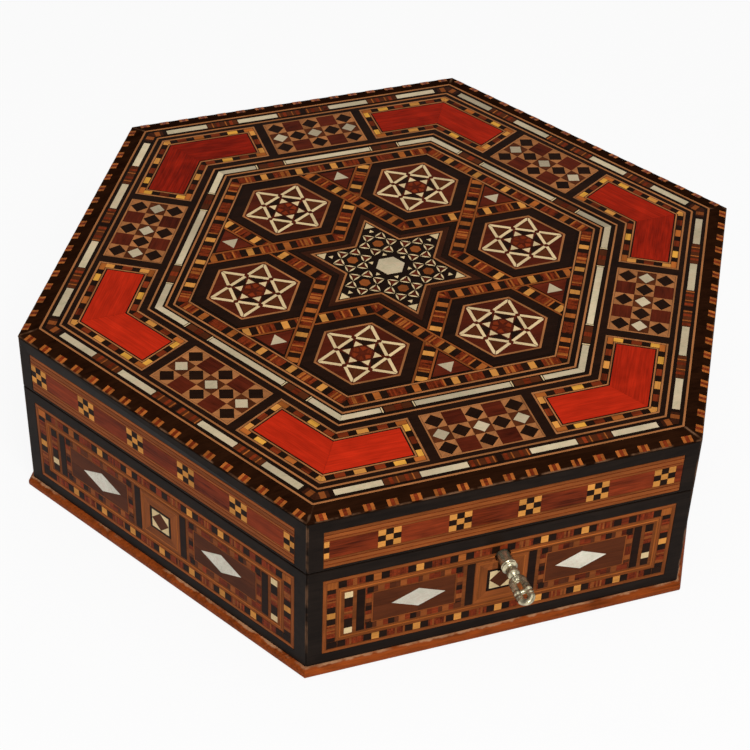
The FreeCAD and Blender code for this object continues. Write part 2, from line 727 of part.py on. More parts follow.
def make_lock():
    half = "dims.lock_width / 2"
    bottom = f"{WALL_TOP} - dims.lock_height"
    plate = "dims.lock_plate"
    inside = f"({half} - {plate})"
    ceiling = f"{WALL_TOP} - {plate}"
    shell = block("lock_shell", (f"-{half}", half), (f"-{LOCK_FRONT}", f"-{LOCK_BACK}"), (bottom, WALL_TOP))
    cavity_depth = (f"-{LOCK_FRONT} + {plate}", f"-{LOCK_BACK}")
    cavity_height = (f"{bottom} + {plate}", ceiling)
    cavity = block("lock_cavity", (f"-{inside}", inside), cavity_depth, cavity_height)
    slot = bolt_way("lock_bolt_slot", (ceiling, WALL_TOP))
    keep(cut("lock_case", shell, cavity, slot, keyhole), "lock_case")

    wide = f"({half} + dims.lock_flange)"
    cover_depth = (f"-{LOCK_BACK}", f"-{BOARD_INNER}")
    cover = block("lock_cover_plate", (f"-{wide}", wide), cover_depth, (bottom, WALL_TOP))
    keep(cut("lock_cover", cover, lock_screws), "lock_cover")
    keep(key_rod("lock_pin", "dims.lock_pin_radius", "dims.lock_pin_length", LOCK_BACK), "lock_pin")

    depth = (f"-{BOLT_MIDDLE} - dims.bolt_thickness / 2", f"-{BOLT_MIDDLE} + dims.bolt_thickness / 2")
    head_width = ("-dims.bolt_width / 2", "dims.bolt_width / 2")
    foot_width = ("-dims.bolt_foot_width / 2", "dims.bolt_foot_width / 2")
    head = block("bolt_head", head_width, depth, (BOLT_BOTTOM, f"{WALL_TOP} - dims.bolt_recess"))
    foot = block("bolt_foot", foot_width, depth, (BOLT_BOTTOM, f"{BOLT_BOTTOM} + dims.bolt_foot_height"))
    keep(joined("lock_bolt", head, foot), "lock_bolt")


def strike_span():
    """Seat of the strike plate in the front rail's lower edge."""
    across = ("-dims.strike_width / 2", "dims.strike_width / 2")
    depth = (f"-{BOARD_INNER} - dims.strike_depth", f"-{BOARD_INNER}")
    return across, depth, (LID_BOTTOM, f"{LID_BOTTOM} + dims.strike_thickness")


def make_strike_recess():
    bolt_top = f"{WALL_TOP} - dims.bolt_recess + dims.bolt_travel + dims.bolt_clearance"
    seat = block("strike_seat", *strike_span())
    return joined("strike_recess", seat, bolt_way("bolt_pocket", (LID_BOTTOM, bolt_top)))


def make_strike():
    plate = block("strike_blank", *strike_span())
    hole = bolt_way("strike_hole", (LID_BOTTOM, f"{LID_BOTTOM} + dims.strike_thickness"))
    keep(cut("strike_plate", plate, hole, strike_screws), "strike_plate")


def make_key_bow(start):
    """Long pierced bow with a bar across it and a lobe on each side, turned about the key's axis."""
    bow_radius = "((dims.key_bow_width - dims.key_bow_bar) / 2)"
    near = f"({start} + {bow_radius})"
    far = f"({near} + dims.key_bow_rail)"
    crossbar_place = f"-({near} + dims.key_bow_rail * 0.6)"
    solids = []
    for end, middle, turn in (("near", near, 0), ("far", far, 180)):
        half_ring = doc.addObject("Part::Torus", f"key_bow_{end}")
        half_ring.Angle3 = 180
        bind(half_ring, Radius1=bow_radius, Radius2="dims.key_bow_bar / 2")
        solids.append(place(half_ring, "0", f"-{middle}", "0", (0, 0, 1), turn))
    for side, sign in HANDS:
        rail_place = (f"{sign}{bow_radius}", f"-{near}", "0", (1, 0, 0), 90)
        solids.append(rod(f"key_rail_{side}", "dims.key_bow_bar / 2", "dims.key_bow_rail", *rail_place))
        lobe = doc.addObject("Part::Sphere", f"key_lobe_{side}")
        bind(lobe, Radius="dims.key_lobe_radius")
        solids.append(place(lobe, f"{sign}{bow_radius}", crossbar_place, "0"))
    crossbar_ends = (f"-{bow_radius}", crossbar_place, "0", (0, 1, 0), 90)
    solids.append(rod("key_crossbar", "dims.key_crossbar_radius", f"2 * {bow_radius}", *crossbar_ends))
    return place(joined("key_bow", *solids), "0", "0", KEY_HEIGHT, (0, 1, 0), BOW_TURN)


def make_key():
    """Barrel key: hollow shank with rings and a ball, a bit inside and a pierced bow outside."""
    shank_start = f"({LOCK_BACK} + dims.key_end_gap)"
    ring_start = f"({FACE} + dims.key_barrel_out)"
    ring_step = "(dims.key_ring_width + dims.key_ring_gap)"
    ball_middle = f"({ring_start} + 2 * {ring_step} + dims.key_ball_radius)"
    solids = [key_rod("key_barrel", "dims.key_radius", f"{ball_middle} - {shank_start}", shank_start)]
    for number in range(2):
        start = f"({ring_start} + {number} * {ring_step})"
        solids.append(key_rod(f"key_ring_{number}", "dims.key_ring_radius", "dims.key_ring_width", start))
    ball = doc.addObject("Part::Sphere", "key_ball")
    bind(ball, Radius="dims.key_ball_radius")
    solids.append(place(ball, "0", f"-{ball_middle}", KEY_HEIGHT))

    solids.append(make_key_bow(f"({ball_middle} + dims.key_ball_radius)"))

    half_bit = "dims.key_bit_thickness / 2"
    bit_start = f"({shank_start} + dims.key_end_gap)"
    bit_depth = (f"-({bit_start} + dims.key_bit_width)", f"-{bit_start}")
    bit_height = (f"{KEY_HEIGHT} - dims.key_bit_reach", KEY_HEIGHT)
    solids.append(block("key_bit", (f"-{half_bit}", half_bit), bit_depth, bit_height))
    bore_radius = "dims.lock_pin_radius + dims.key_bore_clearance"
    bore = key_rod("key_bore", bore_radius, "dims.key_bore_length", shank_start)
    keep(cut("key", joined("key_solid", *solids), bore), "key")


BOX_LEAF_SPAN = (f"{WALL_TOP} - dims.leaf_thickness", WALL_TOP)
LID_LEAF_SPAN = (LID_BOTTOM, f"{LID_BOTTOM} + dims.leaf_thickness")

# Cutters and fasteners that several pieces share
box_mortise = hinge_mortises("box_mortise", BOX_LEAF_SPAN)
lid_mortise = hinge_mortises("lid_mortise", LID_LEAF_SPAN)
box_screws = keep(hinge_screws("hinge_screws_box", WALL_TOP, 180), "hinge_screws_box")
lid_screws = keep(hinge_screws("hinge_screws_lid", LID_BOTTOM, 0), "hinge_screws_lid")
keyhole = make_keyhole()
lock_recess = make_lock_recess()
strike_recess = make_strike_recess()

flange_middle = "(dims.lock_width / 2 + dims.lock_flange / 2)"
lock_middle = f"{WALL_TOP} - dims.lock_height / 2"
lock_screw_pair = [
    screw(f"lock_screw_{side}", f"{sign}{flange_middle}", f"-{BOARD_INNER}", lock_middle, (1, 0, 0), 90)
    for side, sign in HANDS
]
lock_screws = keep(group("lock_screws", *lock_screw_pair), "lock_screws")

strike_end = "(dims.strike_width / 2 + dims.bolt_width / 2 + dims.bolt_clearance) / 2"
strike_middle = f"-{BOARD_INNER} - dims.strike_depth / 2"
strike_screw_pair = [
    screw(f"strike_screw_{side}", f"{sign}{strike_end}", strike_middle, LID_BOTTOM)
    for side, sign in HANDS
]
strike_screws = keep(group("strike_screws", *strike_screw_pair), "strike_screws")

make_base_board()
make_boards()
make_lid_board()
make_linings()
make_side_marquetry()
make_lid_edge()
make_pearl_borders()
make_panel_ring()
make_centre_panel()
make_lock()
make_strike()
make_key()
make_hinges()
doc.recompute()

# Every object has to be sound before anything is written
for item in doc.Objects:
    if "Invalid" in item.State or "Error" in item.State:
        raise RuntimeError(f"{item.Label} failed: {item.State}")
for item in pieces:
    if item.Shape.isNull() or not item.Shape.isValid() or not item.Shape.Solids:
        raise RuntimeError(f"{item.Label} has no valid solid")

os.makedirs("parts", exist_ok=True)
for item in pieces:
    item.Shape.exportStep(f"parts/{item.Label}.step")
    print(f"{item.Label}: {len(item.Shape.Solids)} solids, {item.Shape.Volume:.1f} mm3")
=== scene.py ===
"""Dresses the hexagonal inlaid box: marquetry, veneers, pearl, key, lining and studio."""

import functools
import math
import random

import bmesh
import bpy
from mathutils import Matrix, Vector


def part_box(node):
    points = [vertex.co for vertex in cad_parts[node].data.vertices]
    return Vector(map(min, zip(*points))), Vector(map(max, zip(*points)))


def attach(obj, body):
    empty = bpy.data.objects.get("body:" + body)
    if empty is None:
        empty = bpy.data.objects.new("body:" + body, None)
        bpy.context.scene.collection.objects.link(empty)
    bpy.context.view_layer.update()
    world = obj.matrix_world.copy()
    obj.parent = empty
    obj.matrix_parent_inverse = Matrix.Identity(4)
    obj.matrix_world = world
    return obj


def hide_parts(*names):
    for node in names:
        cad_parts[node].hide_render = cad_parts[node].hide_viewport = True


bl_info = {
    "name": "Inlaid hexagonal box",
    "version": (1, 0, 0),
    "blender": (4, 5, 0),
    "location": "View3D > Sidebar > Inlaid box",
    "description": "Marquetry, veneers, key, lining and studio of a hexagonal box",
    "category": "Object",
}

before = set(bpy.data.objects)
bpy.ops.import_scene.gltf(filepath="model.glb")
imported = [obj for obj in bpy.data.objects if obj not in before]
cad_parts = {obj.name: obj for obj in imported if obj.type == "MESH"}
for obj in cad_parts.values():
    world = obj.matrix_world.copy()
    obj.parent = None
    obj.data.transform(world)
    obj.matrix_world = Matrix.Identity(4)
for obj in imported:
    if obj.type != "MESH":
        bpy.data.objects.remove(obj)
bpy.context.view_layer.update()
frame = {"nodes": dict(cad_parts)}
NODES = frame["nodes"]

MM = 0.001
SIDES = 6
TURN = math.tau / SIDES
SLANT = math.tan(TURN / 2)
COS30 = math.cos(TURN / 2)


def reach(node):
    """Half a node's depth, from the middle of the box to the back, in millimetres."""
    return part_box(node)[1][1] / MM


def level(node, end):
    """Height of a node's bottom (0) or top (1), in millimetres."""
    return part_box(node)[end][2] / MM


# Lines of the top, as distances from the middle of the box in millimetres
FACE = reach("lid_edge_strips")
TOP_EDGE = reach("outer_border")
RING_OUTER = reach("panel_ring")
PANEL_OUTER = reach("chequer_tiles")
RED_OUTER = reach("chevron_panels")
RING_INNER = reach("inner_border")
CENTRE_OUTER = reach("strapwork")
CENTRE_INNER = reach("field_triangles")
STAR_LINE = reach("star_tile") / 2
FRAME_LINE = reach("star_frame") / 2
STRAP_LINE = FRAME_LINE + (CENTRE_INNER - 3 * FRAME_LINE) / 2
MEDALLION_RADIUS = 2 * STRAP_LINE / COS30
MEDALLION_APOTHEM = reach("medallion_tiles") - 2 * STRAP_LINE
TILE_DEPTH = 21.25
PANEL_INNER = PANEL_OUTER - TILE_DEPTH
RED_INNER = PANEL_INNER + 4.05

# Places along a side, from its middle; what runs past the mitre is cut there
TILE_HALF = 17.85
CHEVRON_END = 21.35
RED_END = 25.4
PAST_MITRE = 62.0
PEARL_NEAR = 18.4
PEARL_FAR = 46.6
PEARL_HALF = 7.9
LONG_PEARL_HALF = 16.6
CORNER_PEARL = 13.4
PANEL_HALF = 60.55

# Heights, and the hole for the key
TOP = level("outer_border", 1)
EDGE_DROP = 1.3
EDGE_PROUD = 0.02
SUNK = 0.01
KEY_HEIGHT = (level("lock_pin", 0) + level("lock_pin", 1)) / 2
KEYHOLE_RADIUS = 2.8
KEYHOLE_SLOT = (-1.42, 1.42, KEY_HEIGHT - 7.02, KEY_HEIGHT)

WOODS = (
    "ebony", "rosewood", "tan", "lemon", "bone", "brown", "orange",
    "plum", "cherry", "yellow", "red", "umber", "pearl",
)

# Repeats of wood and length along a row, in millimetres
STRAP_ROW = (("warm", 2.4), ("ebony", 2.5), ("streaked", 6.2), ("ebony", 2.5))
CHEVRON_ROW = (("golden", 3.9), ("ebony", 3.0), ("rosewood", 3.5), ("ebony", 2.8))
SHIFTED_ROW = CHEVRON_ROW[2:] + CHEVRON_ROW[:2]
WALL_ROW = (("mixed", 2.6), ("ebony", 2.75), ("striped", 6.1), ("ebony", 2.75))
SMALL_ROW = (("dark", 2.2), ("brown", 1.4), ("cherry", 2.2), ("rosewood", 1.7))
BORDER_ROW = (("brown", 2.2), ("rosewood", 1.3), ("brown", 1.2), ("orange", 0.5))
END_BAR = (("bone", 2.6), ("ebony", 4.2), ("striped", 5.3), ("ebony", 4.2), ("bone", 2.6))
ODD_BAR = (("ebony", 3.2), ("bone", 2.6), ("ebony", 4.4), ("striped", 5.4), ("ebony", 3.3))

# Neighbouring woods, each with its start and end
EDGE_BLOCK = (("orange", 0.0, 1.15), ("rosewood", 1.15, 2.35), ("orange", 2.35, 3.5))
BORDER_CORNER = (("ebony", 0.0, 1.3), ("umber", 1.3, 2.5), ("cherry", 2.5, 4.5), ("umber", 4.5, 8.3))
PEARL_LINK = (
    ("bone", 0.25, 0.7), ("ebony", 0.7, 1.2), ("brown", 1.2, 4.6), ("rosewood", 4.6, 7.0),
    ("brown", 7.0, 10.6), ("ebony", 10.6, 11.1), ("bone", 11.1, 11.55),
)
FRIEZE_BANDS = (
    ("cherry", 0.1, 0.9), ("rosewood", 0.95, 1.15), ("cherry", 1.2, 2.6),
    ("rosewood", 2.65, 2.8), ("cherry", 2.85, 3.95),
)

# Bundles of thin strips, and the woods that each strip is picked from
BUNDLES = {"striped": "stripe", "streaked": "streak"}
STRIP_WIDTH = 0.7

# Shorter or smaller offcuts are left out
LEAST_LENGTH = 0.3
LEAST_AREA = 0.01

# Woods picked by chance, as the maker's offcuts fall
CHOICES = {
    "mixed": ("lemon", "lemon", "lemon", "orange", "rosewood"),
    "golden": ("yellow", "lemon", "lemon", "orange"),
    "warm": ("lemon", "lemon", "orange", "orange"),
    "dark": ("ebony", "ebony", "brown", "rosewood"),
    "stripe": ("rosewood", "rosewood", "rosewood", "cherry"),
    "streak": ("rosewood", "rosewood", "rosewood", "orange"),
}
OFFCUT_SEED = 4


# Flat outlines
def polar(radius, degrees, centre=(0.0, 0.0)):
    """Point at a distance and in a direction from a centre."""
    angle = math.radians(degrees)
    return (centre[0] + radius * math.cos(angle), centre[1] + radius * math.sin(angle))


def regular(count, radius, degrees, centre=(0.0, 0.0)):
    """Corners of a regular outline, with the first in the given direction."""
    return [polar(radius, degrees + 360 * number / count, centre) for number in range(count)]


def rectangle(box):
    """Corners of a box given as x0, x1, y0, y1."""
    x0, x1, y0, y1 = box
    return [(x0, y0), (x1, y0), (x1, y1), (x0, y1)]


def grown(box, amount):
    """A box moved out on all sides, or in where the amount is below zero."""
    x0, x1, y0, y1 = box
    return (x0 - amount, x1 + amount, y0 - amount, y1 + amount)


def diamond(x, y, wide, tall):
    """Tips on the right, the top, the left and the bottom."""
    return [(x + wide, y), (x, y + tall), (x - wide, y), (x, y - tall)]


def mirrored(sign, low, high):
    """A span on the right (1) or the left (-1) of the middle."""
    return tuple(sorted((sign * low, sign * high)))


def around(items):
    """Each item with the one after it, back to the first."""
    return zip(items, items[1:] + items[:1])


def signed_area(corners):
    """Area of an outline, below zero where it runs clockwise."""
    return sum(a[0] * b[1] - b[0] * a[1] for a, b in around(corners)) / 2


def clipped(corners, limit):
    """The part of a convex outline where x * nx + y * ny is at least the offset."""
    nx, ny, offset = limit
    kept = []
    for a, b in around(corners):
        da = a[0] * nx + a[1] * ny - offset
        db = b[0] * nx + b[1] * ny - offset
        if da >= 0:
            kept.append(a)
        if (da > 0 > db) or (da < 0 < db):
            share = da / (da - db)
            kept.append((a[0] + (b[0] - a[0]) * share, a[1] + (b[1] - a[1]) * share))
    return kept


def edges_as_limits(corners, inset):
    """Limits that keep the inside of an anticlockwise convex outline, moved in by an inset."""
    limits = []
    for a, b in around(corners):
        dx, dy = b[0] - a[0], b[1] - a[1]
        size = math.hypot(dx, dy)
        if size < 1e-6:
            continue
        nx, ny = -dy / size, dx / size
        limits.append((nx, ny, a[0] * nx + a[1] * ny + inset))
    return limits


def outside(corners, hole):
    """Convex parts of an outline that are left round a convex hole."""
    parts = []
    rest = corners
    for nx, ny, offset in edges_as_limits(hole, 0.0):
        part = clipped(rest, (-nx, -ny, -offset))
        if len(part) >= 3:
            parts.append(part)
        rest = clipped(rest, (nx, ny, offset))
        if len(rest) < 3:
            return [corners]
    return parts


class Drawing:
    """Outlines of the tesserae on one side of the box, in millimetres."""

    def __init__(self, gap, holes=()):
        self.shapes = []
        self.gap = gap
        self.holes = holes
        self.dice = random.Random(OFFCUT_SEED)

    def add(self, wood, corners, grain=0.0, limits=()):
        """Adds a tessera, cut to its limits and to the holes, less the saw gap all round."""
        corners = list(corners)
        for limit in limits:
            corners = clipped(corners, limit)
            if len(corners) < 3:
                return
        if signed_area(corners) < 0:
            corners.reverse()
        for limit in edges_as_limits(corners, self.gap):
            corners = clipped(corners, limit)
            if len(corners) < 3:
                return
        parts = [corners]
        for hole in self.holes:
            parts = [piece for part in parts for piece in outside(part, hole)]
        for part in parts:
            if len(part) >= 3 and signed_area(part) > LEAST_AREA:
                self.shapes.append((wood, part, grain))


class Run:
    """A straight run of inlay, with a start and a direction."""

    def __init__(self, x, y, degrees=0.0):
        self.x, self.y = x, y
        self.degrees = degrees
        self.along = polar(1.0, degrees)

    def at(self, s, t):
        ax, ay = self.along
        return (self.x + s * ax - t * ay, self.y + s * ay + t * ax)

    def quad(self, s0, s1, t0, t1):
        return [self.at(s0, t0), self.at(s1, t0), self.at(s1, t1), self.at(s0, t1)]


ALONG = Run(0, 0)
UPRIGHT = Run(0, 0, 90.0)

# The front sixth of the top, between two mitres
SECTOR = ((-COS30, -0.5, 0.0), (COS30, -0.5, 0.0))


def lay(drawing, run, wood, s0, s1, t0, t1, limits=()):
    """One tessera, or a bundle of thin strips where the wood is striped."""
    if wood in BUNDLES:
        count = max(1, round((s1 - s0) / STRIP_WIDTH))
        step = (s1 - s0) / count
        for number in range(count):
            start = s0 + number * step
            lay(drawing, run, BUNDLES[wood], start, start + step, t0, t1, limits)
        return
    if wood in CHOICES:
        wood = drawing.dice.choice(CHOICES[wood])
    drawing.add(wood, run.quad(s0, s1, t0, t1), run.degrees, limits)


def row(drawing, run, span, width, pattern, middle=0.0, limits=()):
    """Repeats a pattern along a run, with its first wood centred on the middle."""
    period = sum(size for _, size in pattern)
    start, end = span
    place = middle - pattern[0][1] / 2
    place -= period * math.ceil((place - start) / period)
    while place < end:
        for wood, size in pattern:
            first, last = max(place, start), min(place + size, end)
            if last - first > LEAST_LENGTH:
                lay(drawing, run, wood, first, last, *width, limits)
            place += size


def bands(drawing, parts, sign, start, width, limits=()):
    """Neighbouring woods along the side, outwards from a start on the right or the left."""
    for wood, low, high in parts:
        lay(drawing, ALONG, wood, *mirrored(sign, start + low, start + high), *width, limits)


def side_line(drawing, wood, outer, inner):
    """A line along the side, mitred at both ends."""
    lines = ((outer, -1), (outer, 1), (inner, 1), (inner, -1))
    drawing.add(wood, [(sign * line * SLANT, -line) for line, sign in lines])


def ring(drawing, wood, outer, inner, grain):
    """Mitred strips between two outlines with as many corners; grain gives each strip's direction."""
    for number, ((a, c), (b, d)) in enumerate(around(list(zip(outer, inner)))):
        drawing.add(wood, [a, b, d, c], grain(number))


def mitred_frame(drawing, wood, outer, inner):
    """Four mitred strips between two rectangles, each given as x0, x1, y0, y1."""
    ring(drawing, wood, rectangle(outer), rectangle(inner), lambda number: 90.0 * (number % 2))


def round_diamond(drawing, wood, box, tips, grain=0.0):
    """Four boards that fill a rectangle round a diamond."""
    x0, x1, y0, y1 = box
    for number, corner in enumerate(((x1, y1), (x0, y1), (x0, y0), (x1, y0))):
        ends = [(corner[0], tips[0][1]), (tips[1][0], corner[1])]
        if number % 2:
            ends.reverse()
        drawing.add(wood, [ends[0], corner, ends[1], tips[(number + 1) % 4], tips[number]], grain)


# Drawings of one side or one repeat
def draw_edge_blocks(drawing):
    """Small three-part blocks along the lid's sloping edge."""
    pitch, block_half, count = 7.65, 1.75, 8
    near, far = 0.15, 2.7
    for number in range(-count, count + 1):
        start = number * pitch - block_half
        bands(drawing, EDGE_BLOCK, 1, start, (-FACE + near, -FACE + far), SECTOR)


def draw_outer_border(drawing):
    """Tan lines, and striped woods between the pearl strips."""
    line_near, line_far = 0.05, 0.8
    side_line(drawing, "tan", TOP_EDGE - line_near, TOP_EDGE - line_far)
    side_line(drawing, "tan", RING_OUTER + line_far, RING_OUTER + line_near)
    row_near, row_far = 1.9, 4.9
    width = (-TOP_EDGE + row_near, -TOP_EDGE + row_far)
    pearl_gap, middle_half = 0.2, 1.1
    clear = PEARL_HALF + pearl_gap
    for gap in ((PEARL_NEAR + clear, PEARL_FAR - clear), (middle_half, PEARL_NEAR - clear)):
        for sign in (-1, 1):
            span = mirrored(sign, *gap)
            row(drawing, ALONG, span, width, BORDER_ROW, sum(span) / 2, SECTOR)
    lay(drawing, ALONG, "ebony", -middle_half, middle_half, *width)
    for sign in (-1, 1):
        bands(drawing, BORDER_CORNER, sign, PEARL_FAR + clear, width, SECTOR)


def edged_pearl(drawing, ends, middle, half, edge):
    """Pearl strip between two thin ebony lines."""
    lay(drawing, ALONG, "pearl", *ends, middle - half, middle + half, SECTOR)
    for low, high in ((-edge, -half), (half, edge)):
        lay(drawing, ALONG, "ebony", *ends, middle + low, middle + high, SECTOR)


def draw_outer_pearls(drawing):
    """Two short strips on each half of a side."""
    middle = -(TOP_EDGE + RING_OUTER) / 2
    for centre in (-PEARL_FAR, -PEARL_NEAR, PEARL_NEAR, PEARL_FAR):
        ends = (centre - PEARL_HALF, centre + PEARL_HALF)
        edged_pearl(drawing, ends, middle, half=1.27, edge=1.5)


def draw_inner_pearls(drawing):
    """A long strip in the middle of a side, and half of each bent strip at the corners."""
    middle = -(RING_INNER + CENTRE_OUTER) / 2
    corner, past_corner = -middle * SLANT, 2.0
    bent = (corner - CORNER_PEARL, corner + past_corner)
    for ends in (mirrored(-1, *bent), (-LONG_PEARL_HALF, LONG_PEARL_HALF), mirrored(1, *bent)):
        edged_pearl(drawing, ends, middle, half=1.15, edge=1.35)


def draw_inner_border(drawing):
    """Tan lines, and dark woods between the pearl strips."""
    side_line(drawing, "tan", RING_INNER - 0.05, RING_INNER - 0.75)
    side_line(drawing, "tan", CENTRE_OUTER + 1.6, CENTRE_OUTER + 0.85)
    row_near, row_far = 2.1, 4.8
    for sign in (-1, 1):
        bands(drawing, PEARL_LINK, sign, LONG_PEARL_HALF, (-RING_INNER + row_near, -RING_INNER + row_far))


def draw_chequer_tile(drawing):
    """Five columns and three rows of squares with diamonds in them."""
    columns, lines, edge, joint = 5, 3, 0.6, 0.05
    outer = (-TILE_HALF, TILE_HALF, -PANEL_OUTER, -PANEL_INNER)
    inner = grown(outer, -edge)
    mitred_frame(drawing, "tan", outer, inner)
    x0, x1, y0, y1 = grown(inner, -joint)
    wide, tall = (x1 - x0) / columns, (y1 - y0) / lines
    for column in range(columns):
        for line in range(lines):
            left, low = x0 + column * wide, y0 + line * tall
            cell = (left, left + wide, low, low + tall)
            odd_column, middle_line = column % 2 == 1, line == 1
            if odd_column and not middle_line:
                drawing.add("plum", rectangle(cell))
                continue
            wood, board, size = "ebony", "tan", 0.95
            if middle_line and not odd_column:
                wood, board, size = "pearl", "brown", 0.84
            tips = diamond(left + wide / 2, low + tall / 2, size * wide / 2, size * tall / 2)
            drawing.add(wood, tips, 45.0)
            round_diamond(drawing, board, cell, tips, 45.0)


def draw_chevrons(drawing):
    """The two red arms that the side shares with the corners beside it."""
    for sign in (-1, 1):
        lay(drawing, ALONG, "red", *mirrored(sign, RED_END, PAST_MITRE), -RED_OUTER, -RED_INNER, SECTOR)


def draw_chevron_border(drawing, sign):
    """Lines and a chequer row round three sides of the red arm on the right or the left."""

    def ends(near, far):
        return mirrored(sign, CHEVRON_END + near, CHEVRON_END + far)

    def widths(near, far):
        """The same layer along the outer and the inner edge."""
        return (-PANEL_OUTER + near, -PANEL_OUTER + far), (-PANEL_INNER - far, -PANEL_INNER - near)

    def line(near, far):
        """A thin line round the arm, as two long strips and a short one."""
        outer, inner = widths(near, far)
        for width in (outer, inner):
            lay(drawing, ALONG, "tan", *ends(near, to_mitre), *width, SECTOR)
        lay(drawing, ALONG, "tan", *ends(near, far), outer[1], inner[0])

    to_mitre = PAST_MITRE - CHEVRON_END
    near, far, block_end, middle = 0.85, 2.85, 4.5, sign * (CHEVRON_END + 2.6)
    line(0.0, 0.7)
    outer, inner = widths(near, far)
    for width, order in ((outer, SHIFTED_ROW), (inner, CHEVRON_ROW)):
        lay(drawing, ALONG, "orange", *ends(near, block_end), *width)
        row(drawing, ALONG, ends(block_end, to_mitre), width, order, middle, SECTOR)
    span = (outer[1], inner[0])
    across = mirrored(-sign, CHEVRON_END + near, CHEVRON_END + far)
    row(drawing, UPRIGHT, span, across, SHIFTED_ROW, sum(span) / 2)
    line(3.05, 3.6)


def draw_chevron_borders(drawing):
    """The borders of both red arms of a side."""
    for sign in (-1, 1):
        draw_chevron_border(drawing, sign)


def draw_straps(drawing):
    """The centre panel's border, and the two strap arms of one line of the star."""
    side_line(drawing, "tan", CENTRE_OUTER - 0.9, CENTRE_OUTER - 1.6)
    side_line(drawing, "tan", CENTRE_INNER + 1.75, CENTRE_INNER + 1.15)
    border, border_half = (-CENTRE_OUTER + 1.85, -CENTRE_INNER - 1.95), 40.0
    row(drawing, ALONG, (-border_half, border_half), border, STRAP_ROW, 0.0, SECTOR)

    run = Run(0, -STRAP_LINE)
    row_half, line_near, line_far, over_half = 2.0, 2.1, 2.85, 2.95
    start, end, middle = STRAP_LINE * SLANT - 4.0, 66.0, 31.4
    for sign in (-1, 1):
        mitre = (sign * COS30, 0.5, 0.0)
        border_limit = (-sign * COS30, 0.5, -(CENTRE_INNER + 0.9))
        pieces = [[mitre, border_limit]]
        if sign < 0:
            near = [mitre, (COS30, -0.5, over_half - STRAP_LINE)]
            far = [border_limit, (-COS30, 0.5, over_half + STRAP_LINE)]
            pieces = [near, far]
        span = mirrored(sign, start, end)
        for limits in pieces:
            row(drawing, run, span, (-row_half, row_half), STRAP_ROW, sign * middle, limits)
            for width in ((-line_far, -line_near), (line_near, line_far)):
                lay(drawing, run, "cherry", *span, *width, limits)


def sliver(drawing, wood, a, b, thick):
    """Lens-shaped splinter between two points."""
    dx, dy = b[0] - a[0], b[1] - a[1]
    size = math.hypot(dx, dy)
    run = Run(*a, math.degrees(math.atan2(dy, dx)))
    half = thick / 2
    outline = ((0.02, 0.0), (0.4, half), (0.6, half), (0.98, 0.0), (0.6, -half), (0.4, -half))
    drawing.add(wood, [run.at(share * size, t) for share, t in outline])


def draw_rosette(drawing, centre):
    """Hexagon in a six-pointed star of dark triangles, each edged with bone splinters."""
    line, hexagon, triangle, splinter = 3.65, 2.1, 1.8, 0.64
    drawing.add("cherry", regular(6, hexagon, 30, centre))
    for degrees in range(0, 360, 60):
        left = polar(line / COS30, degrees + 30, centre)
        right = polar(line / COS30, degrees - 30, centre)
        tip = polar(2 * line, degrees, centre)
        drawing.add("plum", regular(3, triangle, degrees, polar(line * 4 / 3, degrees, centre)))
        for a, b in ((left, right), (right, tip), (tip, left)):
            sliver(drawing, "bone", a, b, splinter)


def star_edges(drawing, wood, outer, inner):
    """Both edges of one point of the star, between two lines."""
    for sign in (-1, 1):
        hollow = [polar(line / COS30, -90 + 30 * sign) for line in (outer, inner)]
        corners = [hollow[0], (0.0, -2 * outer), (0.0, -2 * inner), hollow[1]]
        drawing.add(wood, corners, -90 - 30 * sign)


def draw_star_frame(drawing):
    """Ebony and umber bands round the star."""
    umber, joint = 1.8, 0.1
    star_edges(drawing, "ebony", FRAME_LINE, STAR_LINE + umber)
    star_edges(drawing, "umber", STAR_LINE + umber, STAR_LINE + joint)


def draw_star(drawing):
    """One point of the star: its edge lines, rosette and small bone triangles."""
    edge, rosette = 0.75, -13.6
    star_edges(drawing, "tan", STAR_LINE, STAR_LINE - edge)
    draw_rosette(drawing, (0.0, rosette))
    for size, place in ((2.15, -24.5), (1.1, -21.3), (1.05, -6.8)):
        drawing.add("bone", regular(3, size, -90, (0.0, place)))


def draw_medallion(drawing):
    """Bone star in a dark hexagon, with triangles and a rosette in the middle."""
    centre = (MEDALLION_RADIUS, 0.0)

    def hexagon(inset):
        return regular(6, (MEDALLION_APOTHEM - inset) / COS30, 0, centre)

    ring(drawing, "tan", hexagon(0.0), hexagon(0.8), lambda number: 60 * number + 120)
    inside = edges_as_limits(hexagon(1.3), 0.0)
    line, half, gap, joint = 7.55, 0.6, 0.8, 0.2
    crossing, tip = line * SLANT, line * math.tan(TURN)
    under, over = -half - joint, half + joint
    for degrees in range(0, 360, 60):
        run = Run(*polar(line, degrees, centre), degrees + 90)
        drawing.add("bone", run.quad(-crossing + gap, crossing - gap, -half, half))
        for sign in (-1, 1):
            nx, ny = polar(1.0, degrees - sign * 30)
            mitre = (nx, ny, nx * centre[0] + ny * centre[1] + joint / 2)
            ends = mirrored(sign, crossing + gap, tip + 2.0)
            drawing.add("bone", run.quad(*ends, -half, half), 0.0, [*inside, mitre])
        petal, corner = Run(*centre, degrees), Run(*centre, degrees + 30)
        point = petal.at(2 * (line - half) - 0.6, 0.0)
        drawing.add("brown", [point, run.at(2.7, under), run.at(-2.7, under)])
        drawing.add("bone", [corner.at(6.7, 0.0), corner.at(4.1, 1.6), corner.at(4.1, -1.6)])
        drawing.add("ebony", [petal.at(4.0, 0.0), run.at(-3.3, over), run.at(3.3, over)])
        tips = ((1.2, 0.0), (2.9, -1.35), (3.7, 0.0), (2.9, 1.35))
        drawing.add("rosewood", [petal.at(s, t) for s, t in tips])
    drawing.add("plum", regular(6, 1.05, 30, centre))


